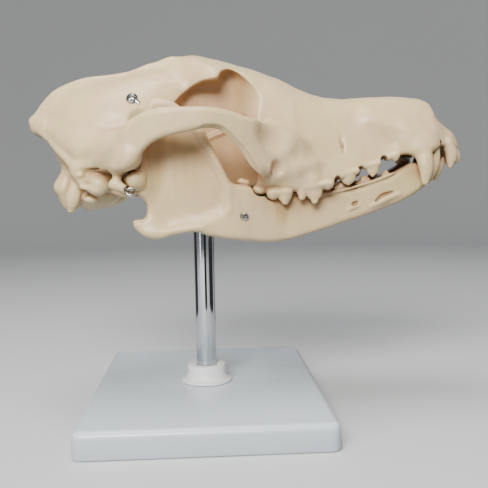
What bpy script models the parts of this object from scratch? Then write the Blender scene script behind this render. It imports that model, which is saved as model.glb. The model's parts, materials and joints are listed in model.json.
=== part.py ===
"""A life-size plastic cast of a dog's skull, on a chrome rod and a white base.

The skull is modelled as clay would be: each bone is a form with a few named sizes, and the forms
are blended, cut and fused on a grid of distances that becomes one closed mesh. Sizes are in
millimetres, x runs to the nose, y to the animal's left and z up, from the middle of the base's
underside. The right half is the left half's mirror image.
"""

import math
from collections import namedtuple

import bmesh
import bpy
import numpy as np
import openvdb
from mathutils import Matrix, Vector

MM = 0.001
GAP = 0.35

BASE_WIDTH = 120.0
BASE_DEPTH = 158.0
BASE_HEIGHT = 13.0
ROD_RADIUS = 5.4
BASE_CORNER = 5.0
BASE_ROUNDING = 3.6
FLANGE_RADIUS = 13.7
FLANGE_HEIGHT = 3.4
COLLAR_RADIUS = 10.2
COLLAR_TOP = 22.6
ROD_TOP = 144.0
HEAD_HEIGHT = 1.5
HEAD_SEAT = 0.4
SHANK_RADIUS = 1.1
SHANK_LENGTH = 4.0
EYE_RADIUS = 1.9
EYE_WIRE = 0.65

GRID_STEP = 0.9
CRANIUM_LOW = (-93.0, 0.0, 102.0)
CRANIUM_HIGH = (144.0, 66.0, 193.0)
CRANIUM_FACES = 9900
JOINT_SPACE = 1.0
CANINE_SPACE = 1.3
BITE_SPACE = 0.9
MANDIBLE_LOW = (-41.0, 0.0, 86.0)
MANDIBLE_HIGH = (134.0, 58.0, 162.0)
MANDIBLE_FACES = 4700

Form = namedtuple("Form", "low high distance")


# Distances and blends

def smooth_min(a, b, blend):
    """The lesser of two distances, with a fillet about as wide as the blend."""
    if blend <= 0:
        return np.minimum(a, b)
    near = np.maximum(blend - np.abs(a - b), 0.0) / blend
    return np.minimum(a, b) - near * near * blend * 0.25


def smooth_max(a, b, blend):
    return -smooth_min(-a, -b, blend)


def curve(at, knots, values):
    """A smooth line through (knots, values), without overshoot, read at each place."""
    knots = np.asarray(knots, float)
    values = np.asarray(values, float)
    steps = np.diff(knots)
    slopes = np.diff(values) / steps
    bends = np.zeros(len(knots))
    bends[0], bends[-1] = slopes[0], slopes[-1]
    same_way = slopes[:-1] * slopes[1:] > 0
    w1 = 2 * steps[1:] + steps[:-1]
    w2 = steps[1:] + 2 * steps[:-1]
    safe = np.where(slopes == 0, 1.0, slopes)
    pull = np.where(same_way, w1 / safe[:-1] + w2 / safe[1:], 1.0)
    bends[1:-1] = np.where(same_way, (w1 + w2) / pull, 0.0)
    at = np.clip(at, knots[0], knots[-1])
    i = np.clip(np.searchsorted(knots, at) - 1, 0, len(steps) - 1)
    h = steps[i]
    t = (at - knots[i]) / h
    return (
        values[i] * (1 + 2 * t) * (1 - t) ** 2
        + bends[i] * h * t * (1 - t) ** 2
        + values[i + 1] * t * t * (3 - 2 * t)
        + bends[i + 1] * h * t * t * (t - 1)
    )


class Clay:
    """Signed distances on a grid over the half of space with y above 0, negative inside the clay."""

    def __init__(self, low, high, step=GRID_STEP):
        self.low = np.array(low, float)
        self.step = step
        counts = [int(math.ceil((b - a) / step)) + 1 for a, b in zip(low, high)]
        self.axes = [a + step * np.arange(n) for a, n in zip(low, counts)]
        self.field = np.full(counts, 50.0, np.float32)

    def window(self, form, margin):
        spans = []
        for axis, low, high in zip(self.axes, form.low, form.high):
            first = int(np.searchsorted(axis, low - margin))
            last = int(np.searchsorted(axis, high + margin))
            spans.append(slice(first, max(last, first)))
        x, y, z = (axis[span] for axis, span in zip(self.axes, spans))
        return tuple(spans), x[:, None, None], y[None, :, None], z[None, None, :]

    def add(self, form, blend=0.0):
        spans, x, y, z = self.window(form, blend + 2 * self.step)
        if min(s.stop - s.start for s in spans) > 0:
            self.field[spans] = smooth_min(self.field[spans], form.distance(x, y, z), blend)

    def cut(self, form, blend=0.0):
        spans, x, y, z = self.window(form, blend + 2 * self.step)
        if min(s.stop - s.start for s in spans) > 0:
            self.field[spans] = smooth_max(self.field[spans], -form.distance(x, y, z), blend)

    def stand_clear_of(self, other, gap=GAP):
        """Cuts away what lies within the gap of another block of clay on the same grid spacing."""
        x, y, z = self.axes
        shift = [int(round((a - b) / self.step)) for a, b in zip(self.low, other.low)]
        low = [max(0, -s) for s in shift]
        high = [min(len(a), n - s) for a, n, s in zip(self.axes, other.field.shape, shift)]
        mine = tuple(slice(a, b) for a, b in zip(low, high))
        theirs = tuple(slice(a + s, b + s) for a, b, s in zip(low, high, shift))
        self.field[mine] = np.maximum(self.field[mine], gap - other.field[theirs])

    def mesh(self, name):
        """The surface as a mesh in metres: the half and its mirror image in one piece."""
        whole = np.concatenate([self.field[:, :0:-1, :], self.field], axis=1)
        grid = openvdb.FloatGrid(1.0)
        grid.copyFromArray(np.ascontiguousarray(whole))
        points, quads = grid.convertToQuads(isovalue=0.0)
        points = points * self.step + self.low
        points[:, 1] -= self.step * (self.field.shape[1] - 1)
        mesh = bpy.data.meshes.new(name)
        mesh.from_pydata((points * MM).tolist(), [], quads[:, ::-1].tolist())
        mesh.validate()
        return mesh


# Forms that the bones are made of

def egg(centre, radii, pitch=0.0, yaw=0.0):
    """An ellipsoid; pitch lifts its nose end and yaw turns that end outwards, in degrees."""
    reach = max(radii)
    low = [c - reach for c in centre]
    high = [c + reach for c in centre]
    cp, sp = math.cos(math.radians(pitch)), math.sin(math.radians(pitch))
    cy, sy = math.cos(math.radians(yaw)), math.sin(math.radians(yaw))

    def distance(x, y, z):
        dx, dy, dz = x - centre[0], y - centre[1], z - centre[2]
        dx, dy = dx * cy + dy * sy, dy * cy - dx * sy
        dx, dz = dx * cp + dz * sp, dz * cp - dx * sp
        a, b, c = dx / radii[0], dy / radii[1], dz / radii[2]
        k0 = np.sqrt(a * a + b * b + c * c)
        k1 = np.sqrt((a / radii[0]) ** 2 + (b / radii[1]) ** 2 + (c / radii[2]) ** 2)
        return k0 * (k0 - 1.0) / np.maximum(k1, 1e-6)

    return Form(low, high, distance)


def limb(points, radii, flat=(1.0, 1.0, 1.0)):
    """A chain of tapered round rods through the points, each axis widened by its flat factor."""
    points = [np.array(p, float) for p in points]
    flat = np.array(flat, float)
    reach = max(radii) * flat.max()
    low = np.min(points, axis=0) - reach
    high = np.max(points, axis=0) + reach

    def distance(x, y, z):
        best = None
        for a, b, ra, rb in zip(points[:-1], points[1:], radii[:-1], radii[1:]):
            a, b = a / flat, b / flat
            ab = b - a
            px, py, pz = x / flat[0] - a[0], y / flat[1] - a[1], z / flat[2] - a[2]
            t = np.clip((px * ab[0] + py * ab[1] + pz * ab[2]) / (ab @ ab), 0, 1)
            away = np.sqrt(
                (px - t * ab[0]) ** 2 + (py - t * ab[1]) ** 2 + (pz - t * ab[2]) ** 2
            )
            here = away - (ra + (rb - ra) * t)
            best = here if best is None else np.minimum(best, here)
        return best * flat.min()

    return Form(low, high, distance)


def casing(x, top, bottom, low_width, high_width, arch=0.0, corner=4.0, sill=3.0):
    """A long body with a roof, a floor and leaning sides, each given along x.

    low_width and high_width are half widths at the floor and at the roof, arch is how far the
    roof falls at its edges, and corner and sill round the roof's and the floor's edges.
    """
    arch = np.broadcast_to(np.asarray(arch, float), np.shape(x)).copy()
    low = (x[0], 0.0, min(bottom))
    high = (x[-1], max(max(low_width), max(high_width)), max(top))

    def distance(px, py, pz):
        roof_z = curve(px, x, top)
        floor_z = curve(px, x, bottom)
        wide = curve(px, x, low_width)
        narrow = curve(px, x, high_width)
        height = np.maximum(roof_z - floor_z, 1.0)
        share = np.clip((pz - floor_z) / height, -0.2, 1.2)
        lean = (wide - narrow) / height
        side = (np.abs(py) - (wide + (narrow - wide) * share)) / np.sqrt(1 + lean * lean)
        fall = curve(px, x, arch)
        roof = pz - (roof_z - fall * (py / np.maximum(narrow, 1.0)) ** 2)
        body = smooth_max(smooth_max(side, roof, corner), floor_z - pz, sill)
        return smooth_max(smooth_max(body, x[0] - px, 2.0), px - x[-1], 2.0)

    return Form(low, high, distance)


def rounded(points, per_span=8):
    """A closed smooth outline through the points, as a fine polygon."""
    points = np.array(points, float)
    before, after = np.roll(points, 1, axis=0), np.roll(points, -1, axis=0)
    after2 = np.roll(points, -2, axis=0)
    fine = []
    for t in np.arange(per_span) / per_span:
        fine.append(
            0.5
            * (
                2 * points
                + (after - before) * t
                + (2 * before - 5 * points + 4 * after - after2) * t * t
                + (3 * points - before - 3 * after + after2) * t**3
            )
        )
    return np.stack(fine, axis=1).reshape(-1, 2)


def outline_distance(outline, x, z):
    """Signed distance from each (x, z) to a closed outline, negative inside."""
    nearest = np.full(np.broadcast(x, z).shape, 1e9)
    inside = np.zeros(nearest.shape, bool)
    for (ax, az), (bx, bz) in zip(outline, np.roll(outline, -1, axis=0)):
        ex, ez = bx - ax, bz - az
        t = np.clip(((x - ax) * ex + (z - az) * ez) / max(ex * ex + ez * ez, 1e-9), 0, 1)
        nearest = np.minimum(nearest, (x - ax - t * ex) ** 2 + (z - az - t * ez) ** 2)
        if az != bz:
            spans = (az > z) != (bz > z)
            inside ^= spans & (x < ax + (z - az) * ex / ez)
    nearest = np.sqrt(nearest)
    return np.where(inside, -nearest, nearest)


def plate(outline, middle, thickness, edge=2.0):
    """A curved plate: its outline seen from the side, its middle y and its thickness along x."""
    fine = rounded(outline)
    knots = np.array(middle, float)
    sizes = np.array(thickness, float)
    low = (fine[:, 0].min(), max(0.0, knots[:, 1].min() - sizes[:, 1].max()), fine[:, 1].min())
    high = (fine[:, 0].max(), knots[:, 1].max() + sizes[:, 1].max(), fine[:, 1].max())

    def distance(x, y, z):
        flat_x, flat_z = x[:, 0, :], z[0, :, :]
        rim = outline_distance(fine, flat_x, flat_z)[:, None, :]
        centre = curve(x, knots[:, 0], knots[:, 1])
        slope = (curve(x + 0.5, knots[:, 0], knots[:, 1]) - curve(x - 0.5, knots[:, 0], knots[:, 1]))
        half = curve(x, sizes[:, 0], sizes[:, 1]) / 2
        side = np.abs(y - centre) / np.sqrt(1 + slope * slope) - half
        return smooth_max(rim, side, edge)

    return Form(low, high, distance)


def tooth_cusp(tip, root, length, width, curl=0.0):
    """A pointed cusp from the root's middle to the tip; length along the jaw, width across it."""
    tip, root = np.array(tip, float), np.array(root, float)
    axis = tip - root
    height = np.linalg.norm(axis)
    axis = axis / height
    reach = max(length, width)
    low = np.minimum(tip, root) - reach
    high = np.maximum(tip, root) + reach

    def distance(x, y, z):
        dx, dy, dz = x - root[0], y - root[1], z - root[2]
        along = (dx * axis[0] + dy * axis[1] + dz * axis[2]) / height
        sway = curl * 4 * along * (1 - along)
        ax = (dx - along * height * axis[0] - sway) / (length / 2)
        ay = (dy - along * height * axis[1]) / (width / 2)
        az = (dz - along * height * axis[2]) / (length / 2)
        away = np.sqrt(ax * ax + ay * ay + az * az)
        taper = np.clip(1 - along, 0.0, 1.0) ** 0.75
        side = (away - taper) * min(length, width) / 2 * 0.9
        return np.maximum(side, np.maximum(-0.55 - along, along - 1.0) * height)

    return Form(low, high, distance)


# The cranium's bones

PROFILE = (
    (-89.4, 151.8), (-87.4, 157.2), (-84.0, 162.8), (-80.0, 167.6), (-72.0, 172.9), (-60.0, 176.9),
    (-45.0, 178.4), (-34.0, 180.1), (-24.0, 183.0), (-14.0, 187.0), (-9.0, 188.2), (-4.0, 188.1),
    (4.0, 186.1),
    (20.0, 182.4), (31.0, 178.9), (42.0, 174.6), (51.0, 170.2), (59.0, 167.0),
    (66.0, 165.2), (73.0, 164.1), (90.0, 165.0), (104.0, 165.2), (116.0, 164.0), (121.0, 162.4),
    (123.5, 158.8), (125.0, 156.4), (127.6, 152.8), (132.6, 148.2), (137.2, 142.6),
    (139.4, 138.0),
)


def ridge_height(x):
    """The skull's top line above the middle plane."""
    return curve(x, [p[0] for p in PROFILE], [p[1] for p in PROFILE])


def make_braincase(clay):
    clay.add(egg((-40.0, 0.0, 149.0), (38.0, 30.0, 26.5), pitch=12))
    clay.add(egg((-14.0, 0.0, 162.0), (26.0, 18.5, 19.0), pitch=10), 14)
    clay.add(egg((-58.0, 0.0, 141.0), (14.0, 24.0, 20.0)), 10)
    clay.add(casing(
        x=(-68.0, -50.0, -30.0, -10.0, 0.0),
        top=(134.0, 134.0, 138.0, 142.0, 146.0),
        bottom=(115.0, 116.5, 121.0, 126.5, 130.0),
        low_width=(11.0, 12.0, 13.0, 10.0, 9.0),
        high_width=(16.0, 22.0, 22.0, 13.0, 12.0),
        corner=5, sill=4), 6)


def make_crests(clay):
    along = (-88.5, -84.0, -78.0, -70.0, -60.0, -48.0, -36.0, -22.0)
    web = [(x, ridge_height(x) - 0.4) for x in along]
    web += [(-14.0, 184.0), (-14.0, 172.0), (-36.0, 160.0), (-66.0, 152.0), (-84.0, 148.0)]
    clay.add(plate(web, [(-90, 0.0), (0, 0.0)], [(-90, 3.4), (-40, 3.2), (-14, 5.0)], edge=1.2), 4)
    nuchal = [(-86.5, 0.0, 155.4), (-80.6, 7.5, 148.0), (-75.2, 13.5, 141.6),
              (-69.4, 20.5, 135.2), (-64.6, 27.5, 131.2), (-59.0, 32.0, 129.4),
              (-52.0, 34.2, 129.4), (-45.0, 35.0, 130.4)]
    clay.add(limb(nuchal, [2.4, 2.2, 2.1, 2.1, 2.2, 2.3, 2.4, 2.8]), 6)


def make_occiput(clay):
    clay.add(egg((-62.0, 0.0, 140.0), (9.0, 16.0, 12.0), pitch=-40), 7)
    clay.add(limb([(-67.0, 10.0, 130.0), (-70.6, 11.2, 120.0), (-69.0, 8.5, 112.6)],
                  [3.8, 5.8, 4.4]), 4)
    clay.add(limb([(-60.5, 25.0, 129.0), (-63.8, 25.5, 117.0), (-66.0, 24.5, 108.8)],
                  [6.0, 4.2, 2.6], flat=(1.0, 1.25, 1.0)), 3)


def make_ear_region(clay):
    clay.add(egg((-52.0, 18.0, 116.6), (14.5, 10.5, 9.4), pitch=13), 2.5)
    clay.add(egg((-50.6, 32.6, 119.4), (6.4, 6.2, 5.8), pitch=-10), 1.6)
    clay.add(limb([(-60.0, 30.0, 127.0), (-58.0, 31.0, 122.5)], [4.0, 3.0]), 3)


ARCH_OUTLINE = (
    (52.0, 140.0), (44.0, 145.5), (36.0, 148.8), (28.0, 150.0), (21.0, 151.2), (14.0, 153.2), (6.0, 154.8),
    (-4.0, 155.2), (-15.0, 155.0), (-25.0, 153.6), (-32.0, 149.5), (-39.0, 142.5), (-46.0, 135.0),
    (-49.0, 128.5), (-40.0, 126.5), (-33.5, 128.0), (-27.0, 134.5), (-21.0, 139.4), (-13.0, 141.8),
    (-4.0, 143.8), (4.0, 144.6), (9.5, 143.0), (15.0, 138.6), (21.0, 132.2), (25.0, 127.0),
    (28.5, 123.6), (32.0, 125.0), (38.0, 126.5), (46.0, 129.0), (52.0, 133.0),
)
ARCH_OUTER = (
    (-52, 36.0), (-46, 39.5), (-40, 46.0), (-33, 53.0), (-24, 58.0), (-12, 60.4), (0, 59.4),
    (10, 56.4), (20, 51.6), (28, 46.4), (36, 40.6), (44, 35.6), (54, 30.0),
)
ARCH_THICKNESS = (
    (-52, 22.0), (-44, 20.0), (-36, 13.0), (-28, 6.6), (-20, 4.8), (-8, 4.2), (4, 4.4),
    (14, 5.0), (24, 6.4), (34, 10.0), (46, 14.0), (54, 14.0),
)


def make_arch(clay):
    middle = [(x, y - curve(x, *zip(*ARCH_THICKNESS)) / 2) for x, y in ARCH_OUTER]
    clay.add(plate(ARCH_OUTLINE, middle, ARCH_THICKNESS, edge=3.4), 7)
    clay.add(limb([(-56.0, 28.0, 136.0), (-42.0, 38.0, 139.0)], [7.0, 6.5]), 8)
    clay.add(limb([(-33.0, 50.0, 132.5), (-36.0, 40.0, 132.0), (-38.0, 28.0, 132.0)],
                  [4.5, 5.5, 6.0]), 5)
    clay.add(limb([(-39.5, 41.0, 128.0), (-39.3, 41.0, 122.0), (-37.2, 41.0, 117.4),
                   (-34.0, 41.0, 115.4)],
                  [3.8, 2.8, 1.9, 1.1], flat=(1.0, 2.4, 1.0)), 2.5)


FACE_X = (
    -38.0, -26.0, -14.0, -4.0, 4.0, 8.0, 13.0, 22.0, 32.0, 42.0, 54.0, 66.0, 78.0, 92.0, 104.0,
    113.0, 121.0, 125.0, 129.0, 134.0, 138.0, 139.6,
)


def make_face(clay):
    """Frontal bone, maxilla and nasals as one body along x, from the brow to the nose."""
    clay.add(casing(
        x=FACE_X,
        top=[ridge_height(x) - curve(x, (-38, -26, -10), (3.0, 1.2, 0.0)) for x in FACE_X],
        bottom=(168.0, 168.0, 169.0, 169.0, 168.0, 167.0, 165.0, 156.0, 140.0, 121.0, 115.8,
                119.0, 124.5, 128.6, 133.6, 136.4, 138.2, 138.0, 137.4, 136.6, 136.2, 136.2),
        low_width=(3.5, 6.0, 12.0, 20.0, 27.0, 29.5, 28.0, 25.0, 27.0, 31.5, 34.5,
                   30.5, 25.5, 21.5, 20.2, 20.6, 18.8, 17.2, 15.4, 12.6, 8.6, 6.0),
        high_width=(2.5, 4.5, 10.0, 18.0, 25.0, 27.5, 25.5, 21.0, 19.0, 18.0, 16.0,
                    13.6, 11.8, 10.8, 10.4, 10.2, 9.8, 10.0, 10.0, 9.2, 6.5, 4.5),
        arch=(2.0, 3.5, 6.0, 8.0, 10.0, 11.0, 9.5, 7.0, 6.5, 6.5, 5.5,
              4.0, 3.0, 2.6, 2.5, 2.5, 2.5, 2.5, 2.5, 2.0, 1.5, 1.5),
        corner=6, sill=3), 5)
    clay.add(casing(
        x=(-22.0, -8.0, 6.0, 20.0, 34.0, 46.0),
        top=(170.0, 172.0, 174.0, 174.0, 168.0, 160.0),
        bottom=(128.0, 124.0, 120.5, 119.0, 118.5, 119.0),
        low_width=(11.0, 11.5, 12.5, 14.0, 20.0, 26.0),
        high_width=(18.0, 17.0, 15.5, 15.5, 18.0, 20.0),
        corner=3, sill=3), 4)
    clay.add(limb([(29.0, 30.5, 120.5), (40.0, 31.5, 120.0), (54.0, 31.0, 120.0)],
                  [3.6, 4.6, 4.6]), 4)
    clay.add(limb([(115.0, 16.5, 139.0), (104.0, 14.5, 147.0), (88.0, 13.0, 152.0)],
                  [6.0, 5.0, 3.5]), 8)
    clay.add(limb([(105.5, 17.0, 140.0), (110.6, 18.6, 136.6), (114.4, 19.8, 132.0)],
                  [3.6, 3.8, 3.4], flat=(1.0, 0.8, 1.0)), 2)
    clay.cut(egg((21.0, 0.0, 188.6), (28.0, 4.0, 7.0), pitch=-15), 6)


ORBIT_OUTLINE = (
    (8.2, 172.6), (10.6, 176.0), (15.0, 177.6), (21.0, 174.8), (29.0, 169.4), (35.6, 163.0),
    (38.4, 156.0), (38.2, 147.0), (34.0, 136.0), (29.0, 127.0), (24.0, 117.0), (0.0, 117.0),
    (-22.0, 126.0), (-19.0, 146.0), (-15.0, 157.0), (-11.6, 162.6), (-6.4, 167.6), (0.6, 171.4),
)
ORBIT_INNER = (
    (-22, 32.0), (-16, 23.0), (-12, 14.5), (-7, 12.0), (2, 12.0), (18, 13.0), (24, 16.0), (31, 22.0),
    (38, 30.0),
)
ORBIT_OUTER = 70.0


def cut_orbit(clay):
    middle = [(x, (ORBIT_OUTER + y) / 2) for x, y in ORBIT_INNER]
    width = [(x, ORBIT_OUTER - y) for x, y in ORBIT_INNER]
    clay.cut(plate(ORBIT_OUTLINE, middle, width, edge=4.0), 1.2)
    clay.add(limb([(-6.0, 11.0, 138.0), (2.7, 12.0, 143.2), (9.7, 12.6, 146.0), (19.0, 13.4, 148.6)],
                  [1.4, 1.5, 1.5, 1.2]), 1.6)


def cut_openings(clay):
    clay.cut(limb([(145.0, 0.0, 158.5), (121.0, 0.0, 152.5), (96.0, 0.0, 150.0)],
                  [12.0, 8.2, 5.5], flat=(1.0, 1.0, 1.12)), 1.5)
    clay.cut(limb([(-92.0, 0.0, 122.0), (-70.0, 0.0, 125.0), (-52.0, 0.0, 136.0)],
                  [8.5, 7.5, 7.0], flat=(1.0, 1.15, 1.0)), 2)
    clay.cut(casing(
        x=(28.0, 40.0, 60.0, 80.0, 100.0, 120.0, 132.0),
        top=(122.0, 122.0, 125.0, 130.5, 137.0, 140.6, 140.0),
        bottom=(100.0,) * 7,
        low_width=(19.0, 24.0, 23.0, 17.0, 13.5, 11.0, 7.0),
        high_width=(14.0, 17.0, 15.0, 11.0, 9.0, 7.0, 4.0), corner=5), 2)
    clay.cut(casing(
        x=(-24.0, -8.0, 6.0, 20.0),
        top=(131.0, 134.0, 136.0, 136.0),
        bottom=(100.0,) * 4,
        low_width=(8.0, 8.5, 9.0, 9.5),
        high_width=(7.0, 7.2, 7.5, 8.0), corner=5), 2)
    clay.cut(limb([(86.0, 25.0, 142.4), (70.8, 20.4, 141.4)], [2.0, 1.7], flat=(1.0, 1.0, 1.9)), 0.8)
    clay.cut(egg((-56.8, 35.5, 125.0), (2.2, 4.0, 1.7)), 1)


# A cusp's point is finer than the grid, which takes this much off it.
TIP_SPARE = 1.0

# name, x, y, gum line z, length, width, and cusps as (x from the middle, height, length)
UPPER_TEETH = (
    ("second_molar", 28.6, 31.0, 117.0, 7.0, 8.0, ((-1.4, 2.6, 4.0), (1.6, 2.8, 4.0))),
    ("first_molar", 38.8, 33.6, 116.0, 13.4, 8.0, ((-3.4, 4.6, 7.6), (3.0, 6.8, 8.0))),
    ("carnassial", 56.0, 33.0, 117.5, 18.0, 6.6,
     ((-6.2, 6.4, 7.4), (0.4, 8.4, 11.5), (6.6, 2.8, 6.0))),
    ("third_premolar", 74.6, 25.4, 125.4, 11.4, 4.8, ((-0.4, 7.0, 10.4),)),
    ("second_premolar", 87.2, 21.8, 129.0, 10.0, 4.4, ((-0.2, 7.2, 9.4),)),
    ("first_premolar", 99.3, 19.8, 133.6, 5.6, 3.8, ((0.2, 3.2, 5.4),)),
)
LOWER_TEETH = (
    ("third_molar", 20.6, 30.6, 119.6, 6.4, 5.4, ((-1.2, 2.4, 4.4), (1.4, 2.2, 4.0))),
    ("second_molar", 28.0, 28.4, 116.4, 8.5, 6.0, ((-1.8, 2.2, 4.6), (1.8, 2.6, 5.0))),
    ("carnassial", 43.0, 25.6, 114.4, 20.0, 6.4,
     ((-6.6, 3.0, 6.6), (0.0, 7.6, 10.5), (6.6, 5.6, 8.5))),
    ("fourth_premolar", 60.0, 22.2, 114.6, 11.5, 4.8, ((0.4, 6.2, 10.0), (-4.2, 2.8, 3.6))),
    ("third_premolar", 72.0, 19.8, 115.8, 10.0, 4.4, ((0.4, 5.0, 9.0),)),
    ("second_premolar", 83.2, 17.6, 118.4, 9.0, 4.0, ((0.4, 4.6, 8.0),)),
    ("first_premolar", 93.4, 15.6, 121.6, 5.0, 3.6, ((0.0, 3.2, 4.8),)),
)
UPPER_CANINE = (
    [(113.8, 17.4, 147.0), (115.0, 18.8, 138.0), (116.2, 20.4, 129.0), (116.2, 21.0, 123.0),
     (115.4, 21.0, 119.2)],
    [5.4, 5.2, 4.0, 2.6, 1.4],
)
LOWER_CANINE = (
    [(113.0, 9.5, 118.4), (118.6, 12.0, 123.2), (121.8, 14.2, 129.5), (122.2, 15.6, 135.0),
     (121.8, 16.2, 138.6)],
    [4.4, 4.4, 3.1, 2.0, 1.1],
)
CANINE_FLAT = (1.0, 0.8, 1.0)


def make_cheek_teeth(clay, teeth, way):
    """Premolars and molars: a low crown along the jaw with its cusps; way is -1 down, 1 up."""
    for name, x, y, z, length, width, cusps in teeth:
        clay.add(egg((x, y, z - way * 1.2), (length / 2, width / 2, 2.8)), 0.8)
        for offset, height, cusp_length in cusps:
            clay.add(tooth_cusp(
                (x + offset, y, z + way * (height + TIP_SPARE)),
                (x + offset * 0.92, y, z - way * 1.5),
                cusp_length, width * 0.9), 0.8)


# y, and the middle of the root, the crown and the tip as (x, z, radius)
UPPER_INCISORS = (
    (12.2, (128.6, 139.0, 3.2), (131.2, 132.4, 3.0), (131.8, 127.8, 1.4)),
    (7.4, (133.0, 138.0, 2.6), (136.0, 133.0, 2.4), (136.8, 130.2, 1.5)),
    (2.6, (134.8, 137.4, 2.4), (137.6, 133.0, 2.3), (138.4, 130.4, 1.5)),
)
LOWER_INCISORS = (
    (7.6, (124.0, 121.6, 2.4), (127.8, 128.6, 2.1), (130.0, 132.4, 1.3)),
    (4.4, (125.0, 121.6, 2.0), (128.6, 127.8, 1.8), (130.2, 131.0, 1.2)),
    (1.5, (125.4, 121.6, 1.7), (129.0, 127.4, 1.6), (130.0, 129.8, 1.1)),
)


def make_front_teeth(clay, canine, incisors):
    clay.add(limb(*canine, flat=CANINE_FLAT), 1.0)
    for y, *stations in incisors:
        clay.add(limb([(x, y, z) for x, z, r in stations], [r for x, z, r in stations]), 0.6)


# The mandible

JAW_OUTLINE = (
    (-33.0, 102.4), (-32.2, 99.6), (-29.2, 96.4), (-25.0, 94.2), (-20.0, 94.0), (-13.0, 96.4),
    (-5.0, 97.2), (3.0, 94.8), (12.0, 93.2), (24.0, 91.3), (36.0, 90.4), (47.0, 92.0),
    (59.0, 95.2), (73.0, 99.2), (87.0, 103.4), (99.0, 107.4), (108.0, 111.0), (116.0, 115.8),
    (122.5, 122.0), (121.0, 126.6), (112.0, 129.6), (105.0, 126.8), (97.0, 122.6), (84.0, 118.4),
    (73.0, 115.6), (62.0, 114.6), (46.0, 114.4), (30.0, 116.6), (22.0, 118.8), (14.4, 120.6),
    (9.4, 126.0), (5.8, 134.0), (2.6, 141.6), (-1.4, 148.0), (-6.4, 154.0), (-12.4, 159.2),
    (-18.4, 161.6), (-23.6, 160.8), (-26.0, 156.0), (-26.4, 146.0), (-26.8, 136.0), (-28.0, 129.0),
    (-33.0, 126.6), (-36.0, 122.4), (-35.0, 117.2),
    (-30.6, 115.0), (-27.2, 112.0), (-26.8, 108.0), (-27.4, 104.8), (-30.0, 103.2),
)
JAW_OUTER = (
    (-36, 41.0), (-20, 41.2), (0, 40.4), (12, 38.4), (24, 34.8), (40, 30.0), (60, 26.4),
    (80, 22.4), (95, 19.2), (108, 16.4), (116, 14.6), (124, 12.0),
)
JAW_THICKNESS = (
    (-36, 5.0), (-20, 5.0), (0, 6.0), (12, 8.4), (24, 10.4), (40, 11.2), (60, 10.6), (80, 9.6),
    (95, 10.4), (108, 12.4), (116, 12.6), (124, 11.0),
)
MASSETER_OUTLINE = (
    (-25.0, 107.0), (-19.0, 102.6), (-8.0, 102.0), (3.0, 103.6), (12.6, 107.6), (12.6, 114.0),
    (9.4, 123.0), (4.4, 132.6), (-1.0, 142.0), (-8.0, 150.0), (-15.0, 156.0), (-22.0, 154.0),
    (-23.6, 140.0), (-23.6, 124.0), (-26.0, 114.0),
)
MASSETER_CUTTER = 8.0
MASSETER_DEPTH = ((-28, 0.8), (-18, 1.2), (-4, 1.7), (8, 2.2), (16, 2.4))
CONDYLE = ((-31.4, 31.0, 122.4), (-31.6, 44.0, 122.6))
CONDYLE_RADII = (4.2, 4.6)


def make_jaw(clay):
    middle = [(x, y - curve(x, *zip(*JAW_THICKNESS)) / 2) for x, y in JAW_OUTER]
    clay.add(plate(JAW_OUTLINE, middle, JAW_THICKNESS, edge=3.5))
    clay.add(limb([(117.0, 0.0, 121.0), (108.0, 0.0, 117.0), (96.0, 0.0, 112.0)], [4.2, 4.6, 3.6]), 4)
    clay.add(limb(CONDYLE, CONDYLE_RADII), 0)
    clay.add(limb([(-28.0, 39.0, 121.0), (-20.0, 38.4, 117.0)], [4.6, 2.6], flat=(1, 1, 1.5)), 5)
    clay.add(limb([(12.6, 36.2, 109.0), (10.2, 37.0, 120.0), (5.0, 38.2, 132.0), (-0.6, 38.8, 144.0)],
                  [1.6, 2.2, 2.2, 1.7]), 4)
    clay.add(limb([(-30.5, 39.0, 100.6), (-20.0, 39.2, 97.2), (-8.0, 39.0, 99.2)], [2.4, 2.8, 2.2]), 4)
    outer = [(x, curve(x, *zip(*JAW_OUTER)) - depth) for x, depth in MASSETER_DEPTH]
    middle = [(x, y + MASSETER_CUTTER / 2) for x, y in outer]
    clay.cut(plate(MASSETER_OUTLINE, middle, [(-40, MASSETER_CUTTER), (20, MASSETER_CUTTER)], edge=5.0), 2.0)
    clay.cut(egg((96.0, 21.0, 112.0), (4.2, 4.0, 1.3), pitch=22), 1)
    clay.cut(egg((78.0, 25.2, 109.4), (2.0, 4.0, 1.3)), 1)


Fitting = namedtuple("Fitting", "name kind bone size outward facing inside way")

# size is a screw's head radius or an eyelet's neck, outward the way it points, facing the way its
# ring faces, inside a point in the bone, and way the direction from there to the surface.
FITTINGS = (
    Fitting("temple_screw", "screw", "cranium", 2.45, outward=(-0.03, 0.93, 0.36), facing=(0, 0, 1),
            inside=(-33.6, 12.0, 161.2), way=(0, 1, 0.13)),
    Fitting("jaw_screw", "screw", "mandible", 2.15, outward=(-0.02, 1.0, -0.05), facing=(0, 0, 1),
            inside=(20.4, 30.0, 103.7), way=(0, 1, 0)),
    Fitting("joint_eyelet", "eyelet", "cranium", 1.8, outward=(0.75, 0.65, -0.2), facing=(-0.62, 0.78, 0.1),
            inside=(-39.4, 43.0, 119.6), way=(0.2, 1, 0)),
)


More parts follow.
